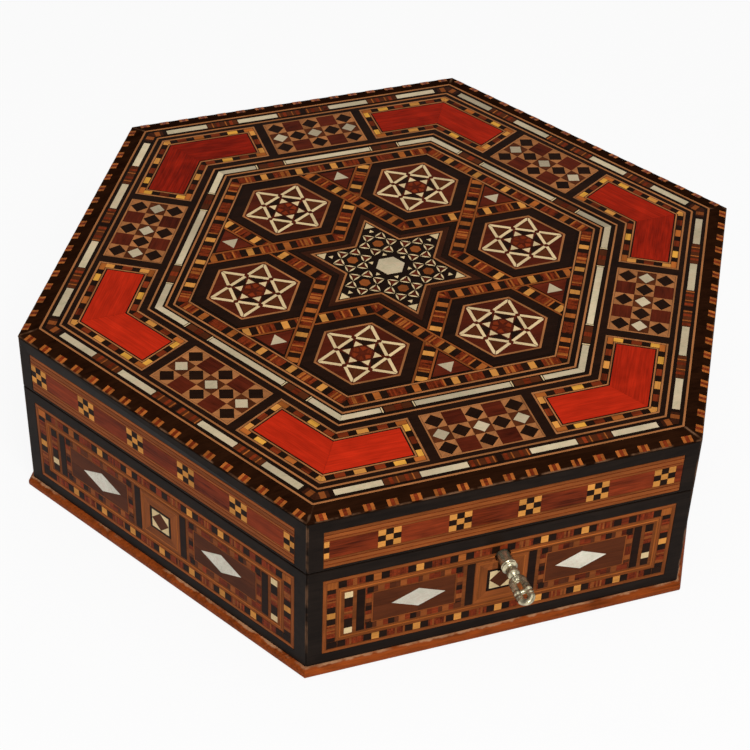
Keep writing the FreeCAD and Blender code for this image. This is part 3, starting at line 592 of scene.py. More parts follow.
def draw_wall_panel(drawing, bars=(ODD_BAR, END_BAR)):
    """Bordered panel of the box side, between its ebony frames."""
    low, high = level("wall_panels", 0), level("wall_panels", 1)
    middle = (low + high) / 2
    outline = (-PANEL_HALF, PANEL_HALF, low, high)
    mitred_frame(drawing, "cherry", outline, grown(outline, -1.1))

    row_near, row_far, row_end = 1.45, 4.4, 55.5
    column_start, column_end, corner_start = 56.3, 59.2, 55.6
    under, over = (low + row_near, low + row_far), (high - row_far, high - row_near)
    for width in (over, under):
        row(drawing, ALONG, (-row_end, row_end), width, WALL_ROW)
    for sign in (-1, 1):
        across = mirrored(-sign, column_start, column_end)
        row(drawing, UPRIGHT, (low + 4.5, high - 4.5), across, WALL_ROW, middle)
        corner = mirrored(-sign, corner_start, column_end)
        lay(drawing, UPRIGHT, "ebony", *under, *corner)
        lay(drawing, UPRIGHT, "orange", *over, *corner)
    inner = (-55.9, 55.9, low + 4.8, high - 4.8)
    mitred_frame(drawing, "cherry", inner, grown(inner, -0.6))
    mitred_frame(drawing, "orange", grown(inner, -0.8), grown(inner, -1.4))

    bar_half, bar_place, black_bars = 9.45, (50.6, 53.4), ((46.5, 49.3), (9.3, 12.1))
    bar_low, bar_high = middle - bar_half, middle + bar_half
    for sign, bar in zip((-1, 1), bars):
        place = bar_low
        for wood, size in bar:
            lay(drawing, UPRIGHT, wood, place, place + size, *mirrored(-sign, *bar_place))
            place += size
        for span in black_bars:
            lay(drawing, ALONG, "ebony", *mirrored(sign, *span), bar_low, bar_high)
        draw_rhombus_panel(drawing, sign, bar_low, bar_high)
    block_half, tile_half = 9.1, 4.9
    block = (-block_half, block_half, bar_low, bar_high)
    line_outer, line_inner = grown(block, -1.0), grown(block, -1.45)
    mitred_frame(drawing, "cherry", block, line_outer)
    mitred_frame(drawing, "orange", line_outer, line_inner)
    tile = (-tile_half, tile_half, middle - tile_half, middle + tile_half)
    mitred_frame(drawing, "cherry", line_inner, tile)


def draw_rhombus_panel(drawing, sign, low, high):
    """Dark board round a pearl rhombus, in a small chequer border."""
    x0, x1 = mirrored(sign, 13.3, 46.3)
    middle = (low + high) / 2
    tall, wide, joint = 2.5, 2.1, 0.1
    for width in ((high - tall, high), (low, low + tall)):
        row(drawing, ALONG, (x0, x1), width, SMALL_ROW, (x0 + x1) / 2)
    span = (low + tall + joint, high - tall - joint)
    for left in (x0, x1 - wide):
        row(drawing, UPRIGHT, span, (-left - wide, -left), SMALL_ROW, middle)
    board = (x0 + wide + joint, x1 - wide - joint, *span)
    inner = grown(board, -0.35)
    mitred_frame(drawing, "cherry", board, inner)
    rhombus_place, rhombus_half, rhombus_rise = 28.3, 9.15, 4.05
    tips = diamond(sign * rhombus_place, middle, rhombus_half, rhombus_rise)
    round_diamond(drawing, "brown", inner, tips)


def draw_centre_tile(drawing):
    """Bone corners round a dark diamond, in a black frame."""
    low, high = level("wall_centre_tiles", 0), level("wall_centre_tiles", 1)
    half, joint, edge = 4.82, 0.03, 0.9
    outer = (-half, half, low + joint, high - joint)
    inner = grown(outer, -edge)
    mitred_frame(drawing, "ebony", outer, inner)
    x0, x1, y0, y1 = inner
    x, y = (x0 + x1) / 2, (y0 + y1) / 2
    drawing.add("brown", diamond(x, y, x1 - x, y1 - y))
    for corner in rectangle(inner):
        drawing.add("bone", [corner, (x, corner[1]), (corner[0], y)])


def draw_frieze(drawing, first):
    """Lid side: dark red board with small chequer blocks from the first place on, between brown bands."""
    half, block_half, pitch, least_board = PANEL_HALF, 3.8, 23.4, 0.5
    low, high = level("lid_friezes", 0) + 4.1, level("lid_friezes", 1) - 4.0
    for wood, start, end in FRIEZE_BANDS:
        lay(drawing, ALONG, wood, -half, half, high + start, high + end)
        lay(drawing, ALONG, wood, -half, half, low - end, low - start)
    wide, tall = 2 * block_half / 3, (high - low) / 3
    place = -half
    for number in range(-4, 4):
        left = first + number * pitch - block_half
        start, end = max(left, -half), min(left + 2 * block_half, half)
        if end - start <= least_board:
            continue
        if start - place > least_board:
            lay(drawing, ALONG, "rosewood", place, start, low, high)
        for column in range(3):
            x0, x1 = max(left + column * wide, start), min(left + (column + 1) * wide, end)
            if x1 - x0 < LEAST_LENGTH:
                continue
            for line in range(3):
                wood = "ebony" if (column + line) % 2 else "lemon"
                y0 = low + line * tall
                lay(drawing, ALONG, wood, x0, x1, y0, y0 + tall)
        place = end
    if half - place > least_board:
        lay(drawing, ALONG, "rosewood", place, half, low, high)


# Lifting a drawing into place
def flat_at(height):
    """Places a drawing level, at a height."""
    return lambda x, y: (x * MM, y * MM, height * MM)


def upright_at(distance):
    """Places a drawing upright in the front, at a distance from the middle of the box."""
    return lambda x, z: (x * MM, -distance * MM, z * MM)


def on_slope(rise):
    """Places a drawing on the lid's sloping edge."""
    fall = EDGE_DROP / (FACE - TOP_EDGE)
    return lambda x, y: (x * MM, y * MM, (TOP - (-y - TOP_EDGE) * fall + rise) * MM)


def sheet_of(name, drawing, lift, seed):
    """Mesh of a drawing, with each tessera's wood and the direction of its grain."""
    dice = random.Random(seed)
    points, faces, woods, grain = [], [], [], []
    for wood, corners, degrees in drawing.shapes:
        first = len(points)
        points.extend(lift(x, y) for x, y in corners)
        faces.append(tuple(range(first, len(points))))
        woods.append(WOODS.index(wood))
        ax, ay = polar(1.0, degrees)
        shift = (dice.uniform(0, 5), dice.uniform(0, 5))
        for x, y in corners:
            grain.append((x * ax + y * ay) * MM + shift[0])
            grain.append((y * ax - x * ay) * MM + shift[1])
    mesh = bpy.data.meshes.new(name)
    mesh.from_pydata(points, [], faces)
    mesh.attributes.new("wood", "INT", "FACE").data.foreach_set("value", woods)
    mesh.uv_layers.new(name="grain").data.foreach_set("uv", grain)
    return mesh


def merged_solid(node):
    """A copy of a node's solids, with the corners of their faces joined."""
    solid = bmesh.new()
    solid.from_mesh(NODES[node].data)
    bmesh.ops.remove_doubles(solid, verts=solid.verts, dist=1e-6)
    return solid


def mesh_of(solid, name):
    """Turns a finished solid into a mesh."""
    mesh = bpy.data.meshes.new(name)
    solid.to_mesh(mesh)
    solid.free()
    return mesh


def ground_of(node, depth, material):
    """A copy of a node's solid, with its face lowered for the tesserae to stand in."""
    solid = merged_solid(node)
    near = 0.01 * MM
    for vert in solid.verts:
        if abs(vert.co.z - TOP * MM) < near:
            vert.co.z -= depth
            continue
        for number in range(SIDES):
            out = Vector((math.sin(number * TURN), -math.cos(number * TURN), 0.0))
            if vert.co.dot(out) > FACE * MM - near:
                vert.co -= out * depth
    mesh = mesh_of(solid, node + "_ground")
    mesh.materials.append(material)
    return mesh


def solids_of(node):
    """Lowest and highest corner of each solid in a node."""
    solid = merged_solid(node)
    waiting = set(solid.verts)
    boxes = []
    while waiting:
        edge = [waiting.pop()]
        part = []
        while edge:
            vert = edge.pop()
            part.append(vert.co.copy())
            for other in (link.other_vert(vert) for link in vert.link_edges):
                if other in waiting:
                    waiting.remove(other)
                    edge.append(other)
        boxes.append((Vector(map(min, zip(*part))), Vector(map(max, zip(*part)))))
    solid.free()
    return sorted(boxes, key=lambda box: tuple(box[0]))


# Trees of nodes
GEOMETRY = "NodeSocketGeometry"
OBJECT = "NodeSocketObject"
NUMBER = "NodeSocketFloat"
WHOLE = "NodeSocketInt"
VECTOR = "NodeSocketVector"
COLOUR = "NodeSocketColor"
SURFACE = (("Colour", COLOUR), ("Roughness", NUMBER), ("Height", NUMBER))


class Bench:
    """Adds nodes to a tree, and links or fills their sockets."""

    def __init__(self, tree):
        self.tree = tree

    def add(self, kind, **settings):
        node = self.tree.nodes.new(kind)
        for name, value in settings.items():
            setattr(node, name, value)
        return node

    def feed(self, socket, value):
        if isinstance(value, bpy.types.NodeSocket):
            self.tree.links.new(value, socket)
        else:
            socket.default_value = value

    def feed_all(self, sockets, *values):
        for socket, value in zip(sockets, values):
            self.feed(socket, value)

    def fill(self, node, **sockets):
        for name, value in sockets.items():
            self.feed(node.inputs[name.replace("_", " ")], value)
        return node

    def made(self, kind, **sockets):
        """The first output of a new node with its sockets filled."""
        return self.fill(self.add(kind), **sockets).outputs[0]

    def joined(self, *geometries):
        node = self.add("GeometryNodeJoinGeometry")
        for geometry in geometries:
            self.feed(node.inputs[0], geometry)
        return node.outputs[0]

    def chance(self, low, high, seed):
        node = self.add("FunctionNodeRandomValue", data_type="FLOAT")
        self.feed_all(node.inputs[2:4], low, high)
        self.feed(node.inputs["Seed"], seed)
        return node.outputs[1]

    def math(self, operation, *values):
        node = self.add("ShaderNodeMath", operation=operation)
        self.feed_all(node.inputs, *values)
        return node.outputs[0]

    def plus(self, first, second):
        return self.math("ADD", first, second)

    def minus(self, first, second):
        return self.math("SUBTRACT", first, second)

    def product(self, first, second):
        return self.math("MULTIPLY", first, second)

    def stretched(self, vector, factors):
        node = self.add("ShaderNodeVectorMath", operation="MULTIPLY")
        self.feed_all(node.inputs, vector, factors)
        return node.outputs[0]

    def scaled(self, vector, factor):
        node = self.add("ShaderNodeVectorMath", operation="SCALE")
        self.feed(node.inputs[0], vector)
        self.feed(node.inputs["Scale"], factor)
        return node.outputs[0]

    def noise(self, vector, scale=1.0, detail=2.0, distortion=0.0):
        sockets = {"Vector": vector, "Scale": scale, "Detail": detail, "Distortion": distortion}
        return self.made("ShaderNodeTexNoise", **sockets)

    def mix(self, factor, first, second, blend="MIX"):
        node = self.add("ShaderNodeMix", data_type="RGBA", blend_type=blend)
        self.feed_all((node.inputs[0], node.inputs[6], node.inputs[7]), factor, first, second)
        return node.outputs[2]

    def spread(self, value, low, high, to_low=0.0, to_high=1.0):
        node = self.add("ShaderNodeMapRange")
        self.feed_all(node.inputs, value, low, high, to_low, to_high)
        return node.outputs[0]

    def parts(self, vector):
        return self.fill(self.add("ShaderNodeSeparateXYZ"), Vector=vector).outputs


def new_group(name, kind, inputs, outputs):
    """A new node group with named sockets: its bench and the sockets of its two ends."""
    tree = bpy.data.node_groups.new(name, kind)
    for label, socket_kind, value in inputs:
        socket = tree.interface.new_socket(name=label, in_out="INPUT", socket_type=socket_kind)
        if value is not None:
            socket.default_value = value
    for label, socket_kind in outputs:
        tree.interface.new_socket(name=label, in_out="OUTPUT", socket_type=socket_kind)
    bench = Bench(tree)
    return bench, bench.add("NodeGroupInput").outputs, bench.add("NodeGroupOutput").inputs


def geometry_group(name, inputs):
    return new_group(name, "GeometryNodeTree", inputs, (("Geometry", GEOMETRY),))


def shader_group(name, inputs, outputs):
    return new_group(name, "ShaderNodeTree", inputs, outputs)


def tesserae_tree(materials):
    """Raises a drawing into tesserae, repeats it round the box and sets each wood."""
    inputs = (
        ("Ground", GEOMETRY, None),
        ("Drawing", OBJECT, None),
        ("Thickness", NUMBER, 0.2 * MM),
        ("Relief", NUMBER, 0.01 * MM),
        ("Sides", WHOLE, SIDES),
        ("First side", WHOLE, 0),
        ("Seed", WHOLE, 1),
    )
    bench, given, result = geometry_group("tesserae", inputs)

    drawing = bench.add("GeometryNodeObjectInfo", transform_space="ORIGINAL")
    bench.feed(drawing.inputs["Object"], given["Drawing"])
    sheet = drawing.outputs["Geometry"]
    relief = bench.chance(bench.product(given["Relief"], -1.0), given["Relief"], given["Seed"])
    raised = bench.add("GeometryNodeExtrudeMesh", mode="FACES")
    height = bench.plus(given["Thickness"], relief)
    bench.fill(raised, Mesh=sheet, Offset_Scale=height, Individual=True)
    closed = bench.joined(raised.outputs["Mesh"], bench.made("GeometryNodeFlipFaces", Mesh=sheet))
    merged = bench.made("GeometryNodeMergeByDistance", Geometry=closed, Distance=0.001 * MM)

    points = bench.made("GeometryNodePoints", Count=given["Sides"])
    side = bench.plus(bench.add("GeometryNodeInputIndex").outputs[0], given["First side"])
    angles = bench.made("ShaderNodeCombineXYZ", Z=bench.product(side, TURN))
    turned = bench.made("FunctionNodeEulerToRotation", Euler=angles)
    repeated = bench.made("GeometryNodeInstanceOnPoints", Points=points, Instance=merged, Rotation=turned)
    real = bench.made("GeometryNodeRealizeInstances", Geometry=repeated)

    toned = bench.add("GeometryNodeStoreNamedAttribute", data_type="FLOAT", domain="FACE")
    bench.fill(toned, Geometry=real, Name="tone", Value=bench.chance(0.0, 1.0, given["Seed"]))
    geometry = toned.outputs[0]
    kind = bench.add("GeometryNodeInputNamedAttribute", data_type="INT")
    bench.fill(kind, Name="wood")
    for number, wood in enumerate(WOODS):
        match = bench.add("FunctionNodeCompare", data_type="INT", operation="EQUAL")
        bench.feed_all(match.inputs[2:4], kind.outputs[0], number)
        stained = {"Geometry": geometry, "Selection": match.outputs[0], "Material": materials[wood]}
        geometry = bench.made("GeometryNodeSetMaterial", **stained)
    bench.feed(result[0], bench.joined(given["Ground"], geometry))


def screw_tree(material):
    """Countersunk screws with a slot, one on each point, each turned by chance."""
    inputs = (
        ("Points", GEOMETRY, None),
        ("Head radius", NUMBER, 1.38 * MM),
        ("Shank radius", NUMBER, 0.68 * MM),
        ("Head height", NUMBER, 0.7 * MM),
        ("Length", NUMBER, 5.95 * MM),
        ("Slot width", NUMBER, 0.36 * MM),
        ("Slot depth", NUMBER, 0.3 * MM),
        ("Facing", VECTOR, None),
        ("Seed", WHOLE, 1),
    )
    bench, given, result = geometry_group("slotted_screws", inputs)
    head_radius, head_height = given["Head radius"], given["Head height"]
    shank_radius = given["Shank radius"]

    def lowered(geometry, depth):
        shift = bench.made("ShaderNodeCombineXYZ", Z=bench.product(depth, -1.0))
        return bench.made("GeometryNodeTransform", Geometry=geometry, Translation=shift)

    cone = {"Radius_Top": head_radius, "Radius_Bottom": shank_radius, "Depth": head_height}
    head = bench.made("GeometryNodeMeshCone", Vertices=28, **cone)
    wide, deep = bench.product(head_radius, 3.0), bench.product(given["Slot depth"], 2.0)
    blade = bench.made("ShaderNodeCombineXYZ", X=wide, Y=given["Slot width"], Z=deep)
    slotted = bench.add("GeometryNodeMeshBoolean", operation="DIFFERENCE")
    bench.feed(slotted.inputs["Mesh 1"], lowered(head, head_height))
    bench.feed(slotted.inputs["Mesh 2"], bench.made("GeometryNodeMeshCube", Size=blade))
    shank_length = bench.minus(given["Length"], head_height)
    shank = bench.made("GeometryNodeMeshCylinder", Vertices=16, Radius=shank_radius, Depth=shank_length)
    drop = bench.math("MULTIPLY_ADD", shank_length, 0.5, head_height)
    whole = bench.joined(slotted.outputs[0], lowered(shank, bench.minus(drop, 0.05 * MM)))

    spin = bench.made("ShaderNodeCombineXYZ", Z=bench.chance(0.0, math.pi, given["Seed"]))
    turned = bench.add("FunctionNodeRotateRotation", rotation_space="LOCAL")
    for socket, angles in zip(turned.inputs, (given["Facing"], spin)):
        bench.feed(socket, bench.made("FunctionNodeEulerToRotation", Euler=angles))
    driven = {"Points": given["Points"], "Instance": whole, "Rotation": turned.outputs[0]}
    screws = bench.made("GeometryNodeInstanceOnPoints", **driven)
    real = bench.made("GeometryNodeRealizeInstances", Geometry=screws)
    bench.feed(result[0], bench.made("GeometryNodeSetMaterial", Geometry=real, Material=material))
    return bench.tree


def show(data, name):
    """A new object at the origin, in the scene."""
    item = bpy.data.objects.new(name, data)
    bpy.context.scene.collection.objects.link(item)
    return item


def discard(item):
    """Deletes a helper object and its mesh."""
    mesh = item.data
    bpy.data.objects.remove(item)
    bpy.data.meshes.remove(mesh)


def plain_mesh(item, name):
    """The evaluated shape of an object as a mesh of its own."""
    bpy.context.view_layer.update()
    graph = bpy.context.evaluated_depsgraph_get()
    shape = item.evaluated_get(graph)
    mesh = bpy.data.meshes.new_from_object(shape, preserve_all_data_layers=True, depsgraph=graph)
    mesh.name = name
    return mesh


def run_tree(item, tree, values):
    """Adds a tree as a modifier with its inputs set."""
    modifier = item.modifiers.new(tree.name, "NODES")
    modifier.node_group = tree
    for socket in tree.interface.items_tree:
        if socket.item_type == "SOCKET" and socket.in_out == "INPUT" and socket.name in values:
            modifier[socket.identifier] = values[socket.name]


def lay_inlay(name, ground, sheets, settings, seed):
    """One piece: the ground of a node with the tesserae of its drawings standing in it."""
    mesh = ground or bpy.data.meshes.new(name)
    for number, (sheet, sides, first) in enumerate(sheets):
        pattern = show(sheet, f"{name}_drawing")
        holder = show(mesh, f"{name}_holder")
        values = {
            "Drawing": pattern,
            "Thickness": settings.tessera,
            "Relief": settings.relief,
            "Sides": sides,
            "First side": first,
            "Seed": seed + number,
        }
        run_tree(holder, bpy.data.node_groups["tesserae"], values)
        mesh = plain_mesh(holder, name)
        discard(holder)
        discard(pattern)
    return show(mesh, name)


def inlay(node, draw, lift, body, settings, seed, ground="ground", front=None, holes=()):
    """Replaces a node by its marquetry; the front may have a drawing of its own, with holes."""
    sheets = []
    laid = [(draw, (), SIDES, 0)]
    if front:
        laid = [(front, holes, 1, 0), (draw, (), SIDES - 1, 1)]
    for draw_side, side_holes, sides, first in laid:
        drawing = Drawing(settings.saw_gap / MM, side_holes)
        draw_side(drawing)
        sheets.append((sheet_of(f"{node}_{first}", drawing, lift, seed), sides, first))
    floor = ground_of(node, settings.recess, bpy.data.materials[ground])
    piece = lay_inlay(f"{node}_inlay", floor, sheets, settings, seed)
    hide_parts(node)
    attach(piece, body)


# Finishes
VARNISH = 0.03
TESSERA_GLOSS = 0.28
BOARD_GLOSS = 0.36
RAW_GLOSS = 0.5
WEAR = 0.6
NACRE_CLOUD = (0.88, 0.86, 0.83, 1.0)
NACRE_GREEN = (0.72, 0.77, 0.7, 1.0)
NACRE_ROSE = (0.98, 0.83, 0.8, 1.0)


def linear(colour):
    """Screen colour to the light values that a shader takes."""
    values = [c / 12.92 if c <= 0.04045 else ((c + 0.055) / 1.055) ** 2.4 for c in colour]
    return (*values, 1.0)


def toned(colour, factor):
    """A darker or lighter shade of a colour."""
    return [value * factor for value in colour]


def make_wood_figure():
    """Fibres and broader figure along the X of its place, tinted piece by piece."""
    inputs = (
        ("Place", VECTOR, None),
        ("Colour", COLOUR, None),
        ("Tone", NUMBER, 0.5),
        ("Spread", NUMBER, 0.2),
        ("Figure", NUMBER, 0.5),
        ("Gloss", NUMBER, 0.3),
    )
    bench, given, result = shader_group("wood_figure", inputs, SURFACE)
    place = given["Place"]
    fibres = bench.noise(bench.stretched(place, (110.0, 1700.0, 1700.0)))
    figure = bench.noise(bench.stretched(place, (24.0, 210.0, 210.0)), detail=3.0, distortion=0.8)
    patches = bench.noise(bench.stretched(place, (70.0, 110.0, 110.0)), distortion=1.2)
    blend = bench.math("MULTIPLY_ADD", fibres, 0.35, bench.product(figure, 0.4))
    blend = bench.math("MULTIPLY_ADD", patches, 0.25, blend)
    shade = bench.spread(blend, 0.38, 0.62, -0.5, 0.5)
    streaks = bench.math("MULTIPLY_ADD", shade, given["Figure"], 1.0)
    tint = bench.product(bench.minus(given["Tone"], 0.5), bench.product(given["Spread"], 2.0))
    bench.feed(result["Colour"], bench.scaled(given["Colour"], bench.plus(streaks, tint)))
    bench.feed(result["Roughness"], bench.math("MULTIPLY_ADD", fibres, 0.16, given["Gloss"]))
    bench.feed(result["Height"], fibres)


def make_nacre():
    """Wavy layers of mother-of-pearl, from grey to warm white."""
    inputs = (("Place", VECTOR, None), ("Colour", COLOUR, None), ("Tone", NUMBER, 0.5))
    bench, given, result = shader_group("nacre", inputs, SURFACE)
    place = given["Place"]
    cloud = bench.noise(place, 75.0, 3.0, 1.5)
    layers = bench.noise(bench.stretched(place, (260.0, 420.0, 420.0)), distortion=2.0)
    shells = bench.noise(place, 31.0, 1.0)
    colour = bench.mix(bench.spread(cloud, 0.35, 0.65), given["Colour"], NACRE_CLOUD, "MULTIPLY")
    colour = bench.mix(bench.spread(layers, 0.45, 0.75, 0.0, 0.7), colour, NACRE_GREEN, "MULTIPLY")
    colour = bench.mix(bench.spread(layers, 0.5, 0.25, 0.0, 0.6), colour, NACRE_ROSE, "MULTIPLY")
    tone = bench.math("MULTIPLY_ADD", given["Tone"], 0.5, 0.75)
    light = bench.product(tone, bench.spread(shells, 0.35, 0.62, 0.86, 1.1))
    bench.feed(result["Colour"], bench.scaled(colour, light))
    bench.feed(result["Roughness"], bench.spread(layers, 0.3, 0.7, 0.2, 0.38))
    bench.feed(result["Height"], layers)


def make_arris_wear():
    """Mask of rubbed wood along the upright corners and the lid's top edge."""
    inputs = (("Place", VECTOR, None), ("Width", NUMBER, 0.6 * MM))
    bench, given, result = shader_group("arris_wear", inputs, (("Mask", NUMBER),))
    x, y, z = bench.parts(given["Place"])
    angle = bench.math("DIVIDE", bench.math("ARCTAN2", y, x), TURN)
    fold = bench.math("ABSOLUTE", bench.minus(angle, bench.math("ROUND", angle)))
    radius = bench.math("SQRT", bench.plus(bench.product(x, x), bench.product(y, y)))
    corner = bench.product(bench.product(fold, TURN), radius)
    near_corner = bench.spread(bench.math("DIVIDE", corner, given["Width"]), 1.0, 0.2)
    flats = bench.math("ABSOLUTE", y)
    for share in (0.5, -0.5):
        slant = bench.math("MULTIPLY_ADD", x, COS30, bench.product(y, share))
        flats = bench.math("MAXIMUM", flats, bench.math("ABSOLUTE", slant))
    edge_gap = bench.math("DIVIDE", bench.minus(FACE * MM, flats), given["Width"])
    near_edge = bench.spread(edge_gap, 0.9, 0.1)
    high = bench.spread(z, (TOP - EDGE_DROP - 0.7) * MM, (TOP - EDGE_DROP - 0.1) * MM)
    arris = bench.math("MAXIMUM", near_corner, bench.product(near_edge, high))
    patches = bench.spread(bench.noise(given["Place"], 160.0, 3.0), 0.42, 0.6)
    bench.feed(result["Mask"], bench.product(arris, patches))


def make_rubbed_foot():
    """Mask of pale, rubbed patches along the top of the base moulding."""
    inputs = (("Place", VECTOR, None), ("Height", NUMBER, 4.4 * MM))
    bench, given, result = shader_group("rubbed_foot", inputs, (("Mask", NUMBER),))
    place = given["Place"]
    drop = bench.minus(given["Height"], bench.parts(place)["Z"])
    ragged = bench.math("MULTIPLY_ADD", bench.noise(place, 330.0, 3.0), 1.2 * MM, -0.4 * MM)
    near_top = bench.spread(bench.minus(ragged, drop), -0.1 * MM, 0.15 * MM)
    patches = bench.spread(bench.noise(place, 90.0, 3.0), 0.38, 0.55)
    bench.feed(result["Mask"], bench.product(near_top, patches))


def make_tarnish():
    """Clouded metal: polished and dull patches that fall by chance."""
    inputs = (
        ("Place", VECTOR, None),
        ("Colour", COLOUR, None),
        ("Dull", COLOUR, None),
        ("Gloss", NUMBER, 0.3),
    )
    bench, given, result = shader_group("tarnish", inputs, SURFACE)
    mask = bench.spread(bench.noise(given["Place"], 420.0, 4.0, 0.5), 0.4, 0.68)
    grit = bench.noise(given["Place"], 3000.0)
    bench.feed(result["Colour"], bench.mix(mask, given["Colour"], given["Dull"]))
    uneven = bench.plus(bench.spread(grit, 0.3, 0.7, -0.06, 0.06), given["Gloss"])
    bench.feed(result["Roughness"], bench.math("MULTIPLY_ADD", mask, 0.15, uneven))
    bench.feed(result["Height"], grit)


def make_pile():
    """Short velvet pile that lies in soft patches."""
    inputs = (("Place", VECTOR, None), ("Colour", COLOUR, None))
    bench, given, result = shader_group("pile", inputs, (("Colour", COLOUR), ("Height", NUMBER)))
    patches = bench.noise(given["Place"], 38.0, 3.0, 0.6)
    hairs = bench.noise(given["Place"], 4200.0, 1.0)
    uneven = bench.spread(hairs, 0.3, 0.7, -0.15, 0.15)
    light = bench.plus(bench.spread(patches, 0.35, 0.65, 0.84, 1.12), uneven)
    bench.feed(result["Colour"], bench.scaled(given["Colour"], light))
    bench.feed(result["Height"], hairs)


def bare_bench(owner):
    """The emptied tree of a material or a world."""
    owner.use_nodes = True
    owner.node_tree.nodes.clear()
    return Bench(owner.node_tree)


def finish(name, **constants):
    """A new material with a Principled shader, and the bench it is built on."""
    material = bpy.data.materials.new(name)
    bench = bare_bench(material)
    shader = bench.fill(bench.add("ShaderNodeBsdfPrincipled"), **constants)
    bench.fill(bench.add("ShaderNodeOutputMaterial"), Surface=shader.outputs[0])
    return material, bench, shader


def use_group(bench, name, **sockets):
    """The outputs of a shared effect with its sockets filled."""
    node = bench.add("ShaderNodeGroup", node_tree=bpy.data.node_groups[name])
    return bench.fill(node, **sockets).outputs


def coat(bench, shader, look, strength, distance, colour=None):
    """Leads the colour, the roughness and the unevenness of a finish to its shader."""
    bench.feed(shader.inputs["Base Color"], look["Colour"] if colour is None else colour)
    if "Roughness" in look:
        bench.feed(shader.inputs["Roughness"], look["Roughness"])
    bump = bench.made("ShaderNodeBump", Strength=strength, Distance=distance * MM, Height=look["Height"])
    bench.feed(shader.inputs["Normal"], bump)


def object_place(bench, degrees=0.0):
    """A point's place in the box, turned about the upright axis."""
    place = bench.add("ShaderNodeTexCoord").outputs["Object"]
    if not degrees:
        return place
    return bench.made("ShaderNodeMapping", Vector=place, Rotation=(0.0, 0.0, math.radians(degrees)))


def tessera_tone(bench):
    """The chance tone that each tessera has of its own."""
    return bench.add("ShaderNodeAttribute", attribute_name="tone").outputs["Fac"]


def wood_finish(name, colour, spread, figure):
    """Varnished wood of a tessera, with its grain along its own drawing."""
    material, bench, shader = finish(name, Specular_IOR_Level=VARNISH)
    place = bench.add("ShaderNodeUVMap", uv_map="grain").outputs[0]
    stained = {"Place": place, "Colour": linear(colour), "Tone": tessera_tone(bench)}
    wood = use_group(bench, "wood_figure", Spread=spread, Figure=figure, Gloss=TESSERA_GLOSS, **stained)
    coat(bench, shader, wood, 0.12, 0.05)
    return material


def board_finish(
    name, colour, figure, degrees=0.0, gloss=BOARD_GLOSS, worn=None, wear="arris_wear", shine=VARNISH
):
    """Wood of a board or veneer, with its grain across the whole box."""
    _, bench, shader = finish(name, Specular_IOR_Level=shine)
    place = object_place(bench, degrees)
    wood = use_group(bench, "wood_figure", Place=place, Colour=linear(colour), Figure=figure, Gloss=gloss)
    rubbed = None
    if worn:
        mask = use_group(bench, wear, Place=object_place(bench))["Mask"]
        rubbed = bench.mix(bench.product(mask, WEAR), wood["Colour"], linear(worn))
    coat(bench, shader, wood, 0.15, 0.06, rubbed)


def pearl_finish(name, colour, tone_of=None):
    """Mother-of-pearl, with a tone for each tessera where it is cut into tesserae."""
    material, bench, shader = finish(name, Specular_IOR_Level=0.5, Coat_Weight=0.3, Coat_Roughness=0.1)
    tone = tone_of(bench) if tone_of else 0.5
    shell = use_group(bench, "nacre", Place=object_place(bench), Colour=linear(colour), Tone=tone)
    coat(bench, shader, shell, 0.1, 0.05)
    return material


def metal_finish(name, colour, dull, gloss, metallic=1.0, painted_rim_shade=0.3):
    """Tarnished metal, with painted shade that darkens its colour where the surface turns away from the
    eye.
    """
    _, bench, shader = finish(name, Metallic=metallic)
    metals = {"Colour": linear(colour), "Dull": linear(dull)}
    metal = use_group(bench, "tarnish", Place=object_place(bench), Gloss=gloss, **metals)
    # Painted shade: the colour goes towards a dark tone at grazing angles, standing in for dark reflections
    facing_for_painted_shade = bench.add("ShaderNodeLayerWeight").outputs["Facing"]
    shade = bench.spread(facing_for_painted_shade, 0.38, 0.85, 0.0, painted_rim_shade)
    coat(bench, shader, metal, 0.15, 0.04, bench.mix(shade, metal["Colour"], linear(toned(dull, 0.3))))


def velvet_finish(name, colour):
    """Velvet with a light sheen of its own colour."""
    sheen = {"Sheen_Weight": 0.7, "Sheen_Roughness": 0.35}
    sheen["Sheen_Tint"] = linear([min(1.0, value * 1.5 + 0.1) for value in colour])
    _, bench, shader = finish(name, Roughness=0.9, Specular_IOR_Level=0.15, **sheen)
    pile = use_group(bench, "pile", Place=object_place(bench), Colour=linear(colour))
    coat(bench, shader, pile, 0.5, 0.2)


def dress(material, *nodes):
    """Gives pieces a finish."""
    for node in nodes:
        for slot in NODES[node].material_slots:
            slot.material = bpy.data.materials[material]


def ease_edges(width, *nodes):
    """Takes the sharp arris off pieces."""
    for node in nodes:
        weld = NODES[node].modifiers.new("weld", "WELD")
        weld.merge_threshold = 0.002 * MM
        bevel = NODES[node].modifiers.new("arris", "BEVEL")
        bevel.width = width
        bevel.segments = 2
        bevel.limit_method = "ANGLE"
        bevel.angle_limit = math.radians(40)


# Key: distance out of the wall and radius along its turned shank, in millimetres
KEY_START = -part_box("key")[1][1] / MM - FACE
KEY_BARREL = (
    (KEY_START + 6.5, 0.0), (KEY_START + 6.5, 1.08),
    (KEY_START, 1.08), (KEY_START, 2.3), (KEY_START + 0.1, 2.4),
)
KEY_RINGS = (
    (4.3, 2.4), (4.5, 2.45), (4.62, 2.62), (4.8, 2.7), (5.0, 2.7), (5.18, 2.6), (5.28, 2.38),
    (5.42, 2.38), (5.52, 2.6), (5.7, 2.7), (5.9, 2.7), (6.08, 2.6), (6.2, 2.3), (6.45, 1.8),
)
KEY_BALL = (8.6, 2.2)
KEY_COLLAR = ((10.6, 1.15), (10.75, 1.45), (11.0, 1.6), (11.25, 1.45), (11.4, 1.1), (11.7, 0.0))
BOW_TILT = math.radians(20)
BOW_NEAR = 12.6
BOW_FAR = 19.45
BOW_HALF = 1.83
BOW_STEPS = 8


def key_place(out, across=0.0, up=0.0):
    """Point outside the wall, measured from the key's axis in millimetres."""
    return Vector((across * MM, -(FACE + out) * MM, (KEY_HEIGHT + up) * MM))


